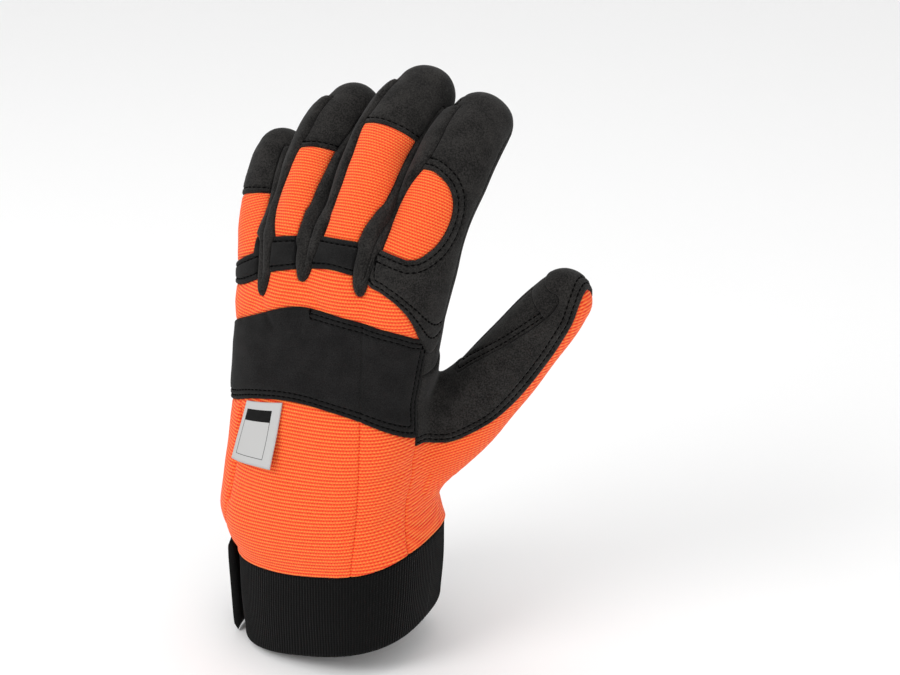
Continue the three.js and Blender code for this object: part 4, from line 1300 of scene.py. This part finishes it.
def label_look():
    """Plain woven label with a dark bar and a thin frame, from UVs as shares of its width and height."""
    look = Look("label")
    across, down = look.cloth_uv()

    def within(value, low, high):
        over, under = look.math("GREATER_THAN", value, low), look.math("LESS_THAN", value, high)
        return look.math("MULTIPLY", over, under)

    def box(left, right, top, bottom):
        return look.math("MULTIPLY", within(across, left, right), within(down, top, bottom))

    outline = look.math("SUBTRACT", box(*LABEL_FRAME_OUTER), box(*LABEL_FRAME_INNER))
    mark = look.math("MAXIMUM", box(*LABEL_BAR), look.math("MULTIPLY", outline, 0.75))
    return look.finish({
        "Base Color": look.ramp(mark, [(0.0, (0.47, 0.47, 0.465)), (1.0, (0.002, 0.002, 0.002))]),
        "Roughness": 0.7,
        "Specular IOR Level": 0.15,
        "Normal": look.bump(look.noise(1500, 1), 0.05, 0.5),
    })


def on_back(px, z, lift):
    """A point on the back of the hand, lifted off it."""
    x, y, a, b = hand_section(z)
    share = np.minimum(0.98, np.abs((px - x) / a))
    return np.array([px, y - b * (1 - share ** SQUARENESS) ** (1 / SQUARENESS) - lift, z])


def label_object():
    """Label: two sheets that hang from the band and curl off the hand, with a rim between them."""
    corners = [np.array(on_hand(*corner)) for corner in LABEL_CORNERS]
    columns, rows = 20, 26
    points, uv = [], []
    for lift in (LABEL_LIFT + LABEL_THICKNESS, LABEL_LIFT):
        for j in range(rows + 1):
            v = mix(LABEL_TUCK, 1, j / rows)
            low = max(v, 0)
            for i in range(columns + 1):
                share = i / columns
                u = share - 0.5
                top, bottom = mix(corners[0], corners[1], share), mix(corners[3], corners[2], share)
                x, z = mix(top, bottom, v)
                curl = LABEL_CURL * (0.5 * low ** 2 + low * max(0, 2 * u) ** 2)
                points.append(on_back(x, z, lift + curl + LABEL_WAVE * math.sin(7 * v + 4 * u) * low))
                uv.append((share, v))
    wide = columns + 1
    count = wide * (rows + 1)
    faces = []
    for j in range(rows):
        for a in range(j * wide, j * wide + columns):
            quad = (a, a + wide, a + wide + 1, a + 1)
            faces.append(quad)
            faces.append(tuple(quad[k] + count for k in (0, 3, 2, 1)))
    ring = [*range(wide), *(j * wide + columns for j in range(1, rows + 1))]
    ring += [rows * wide + i for i in range(columns - 1, -1, -1)]
    ring += [j * wide for j in range(rows - 1, 0, -1)]
    sides = [(a, b, b + count, a + count) for a, b in zip(ring, ring[1:] + ring[:1])]
    smooth = [True] * len(faces) + [False] * len(sides)
    return make_object("label_tag", points, faces + sides, [label_look()], smooth, uv=uv)


def dress(obj, slot, *names):
    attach(obj, "root")
    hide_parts(*names)


# Build the panels

points, normals, triangles = surface_mesh()
fields, flats, marks = panel_fields(points)
x = points[:, 0]
level = level_of(points)
flats = {name: (across, along * RIB_PITCH / DIGIT_RIB_PITCH) for name, (across, along) in flats.items()}
flats["hand"] = (x, level)
flats["gusset"] = (x, level - GUSSET_SLOPE * np.maximum(x - GUSSET_FROM, 0))
# A table with a row for each corner of the surface, and which column of it holds what
columns = {"cloth": {}}
parts = [points, normals]
width = NORMAL.stop
for name, values in {**fields, **marks}.items():
    columns[name] = width
    parts.append(values[:, None])
    width += 1
for name, pair in flats.items():
    columns["cloth"][name] = width
    parts.append(np.column_stack(pair))
    width += 2
table = np.hstack(parts)
over_hem = level_of(table[:, POINT]) - hem_at(table[:, 0]) - HEM_GAP
table, _, _, triangles = split(table, triangles, over_hem)
taken = []
for name in PANELS:
    if name in fields:
        table, _, panel, triangles = split(table, triangles, table[:, columns[name]])
    else:
        panel = triangles
    obj = build_panel(name, *compact(table, panel)[:2], columns, taken)
    dress(obj, PANELS[name][0], name)
    taken.append(name)

dress(cuff_object(), KNIT, "cuff")
dress(strap_object(), KNIT, "wrist_strap")
dress(label_object(), GREY, "label_tag")

# Floor, light and camera

FLOOR_REACH = 6000
FLOOR_FRONT = -3000
FLOOR_BACK = 1500
SWEEP_RADIUS = 900
WALL_HEIGHT = 5000
sweep = [(FLOOR_FRONT, 0), (0, 0), (FLOOR_BACK, 0)]
for angle in np.linspace(0.15, math.pi / 2, 10):
    sweep.append((FLOOR_BACK + SWEEP_RADIUS * math.sin(angle), SWEEP_RADIUS * (1 - math.cos(angle))))
sweep.append((FLOOR_BACK + SWEEP_RADIUS, WALL_HEIGHT))
FLOOR_GAP = 1.0
floor_level = cad_box[0][2] / MM - FLOOR_GAP
floor_points = [(side * FLOOR_REACH, y, floor_level + z) for y, z in sweep for side in (-1, 1)]
floor_faces = [(2 * i, 2 * i + 1, 2 * i + 3, 2 * i + 2) for i in range(len(sweep) - 1)]
floor_look = Look("floor").finish({"Base Color": (0.97, 0.97, 0.97, 1), "Roughness": 0.9})
floor = make_object("floor", floor_points, floor_faces, [floor_look])


def look_along(toward, place, up=(0, 0, 1)):
    """World matrix of something at place whose -Z looks along toward."""
    back = -unit(np.array(toward, float))
    right = unit(np.cross(np.array(up, float), back))
    over = np.cross(back, right)
    matrix = np.eye(4)
    matrix[:3, 0], matrix[:3, 1], matrix[:3, 2] = right, over, back
    matrix[:3, 3] = np.array(place, float) * MM
    return Matrix(matrix.tolist())


def area_light(name, place, target, size, watts):
    light = bpy.data.lights.new(name, "AREA")
    light.shape = "DISK"
    light.size = size * MM
    light.energy = watts
    obj = bpy.data.objects.new(name, light)
    obj.matrix_world = look_along(np.array(target, float) - np.array(place, float), place)
    bpy.context.scene.collection.objects.link(obj)


# Each light's place, size and watts
LIGHT_TARGET = (20, 0, 110)
LIGHTS = {
    "key": ((-500, -900, 900), 700, 6),
    "fill": ((900, -700, 400), 900, 2),
    "top": ((0, 100, 1200), 900, 2),
}
for name, (place, size, watts) in LIGHTS.items():
    area_light(name, place, LIGHT_TARGET, size, watts)
WORLD_STRENGTH = 0.8
world = bpy.data.worlds.new("studio")
world.use_nodes = True
world.node_tree.nodes["Background"].inputs["Color"].default_value = (1, 1, 1, 1)
world.node_tree.nodes["Background"].inputs["Strength"].default_value = WORLD_STRENGTH
bpy.context.scene.world = world
bpy.context.scene.view_settings.view_transform = "Standard"

CAMERA_AZIMUTH = 27
CAMERA_ELEVATION = 22
LENS = 85
SENSOR = 36
FRAME_WIDTH, FRAME_HEIGHT = 900, 675
MM_PER_PIXEL = 0.41
ORIGIN_PIXEL = (345, 611)
azimuth, elevation = math.radians(CAMERA_AZIMUTH), math.radians(CAMERA_ELEVATION)
back = math.cos(elevation) * np.array([math.sin(azimuth), -math.cos(azimuth), math.tan(elevation)])
right = np.array([math.cos(azimuth), math.sin(azimuth), 0])
over = np.cross(back, right)
distance = FRAME_WIDTH * LENS / SENSOR * MM_PER_PIXEL
place = (back * distance + right * (FRAME_WIDTH / 2 - ORIGIN_PIXEL[0]) * MM_PER_PIXEL
         + over * (ORIGIN_PIXEL[1] - FRAME_HEIGHT / 2) * MM_PER_PIXEL)
camera_data = bpy.data.cameras.new("camera")
camera_data.lens = LENS
camera_data.sensor_width = SENSOR
camera_data.clip_start = 0.01
camera_data.clip_end = 50
camera = bpy.data.objects.new("camera", camera_data)
camera.matrix_world = look_along(-back, place)
bpy.context.scene.collection.objects.link(camera)
bpy.context.scene.camera = camera
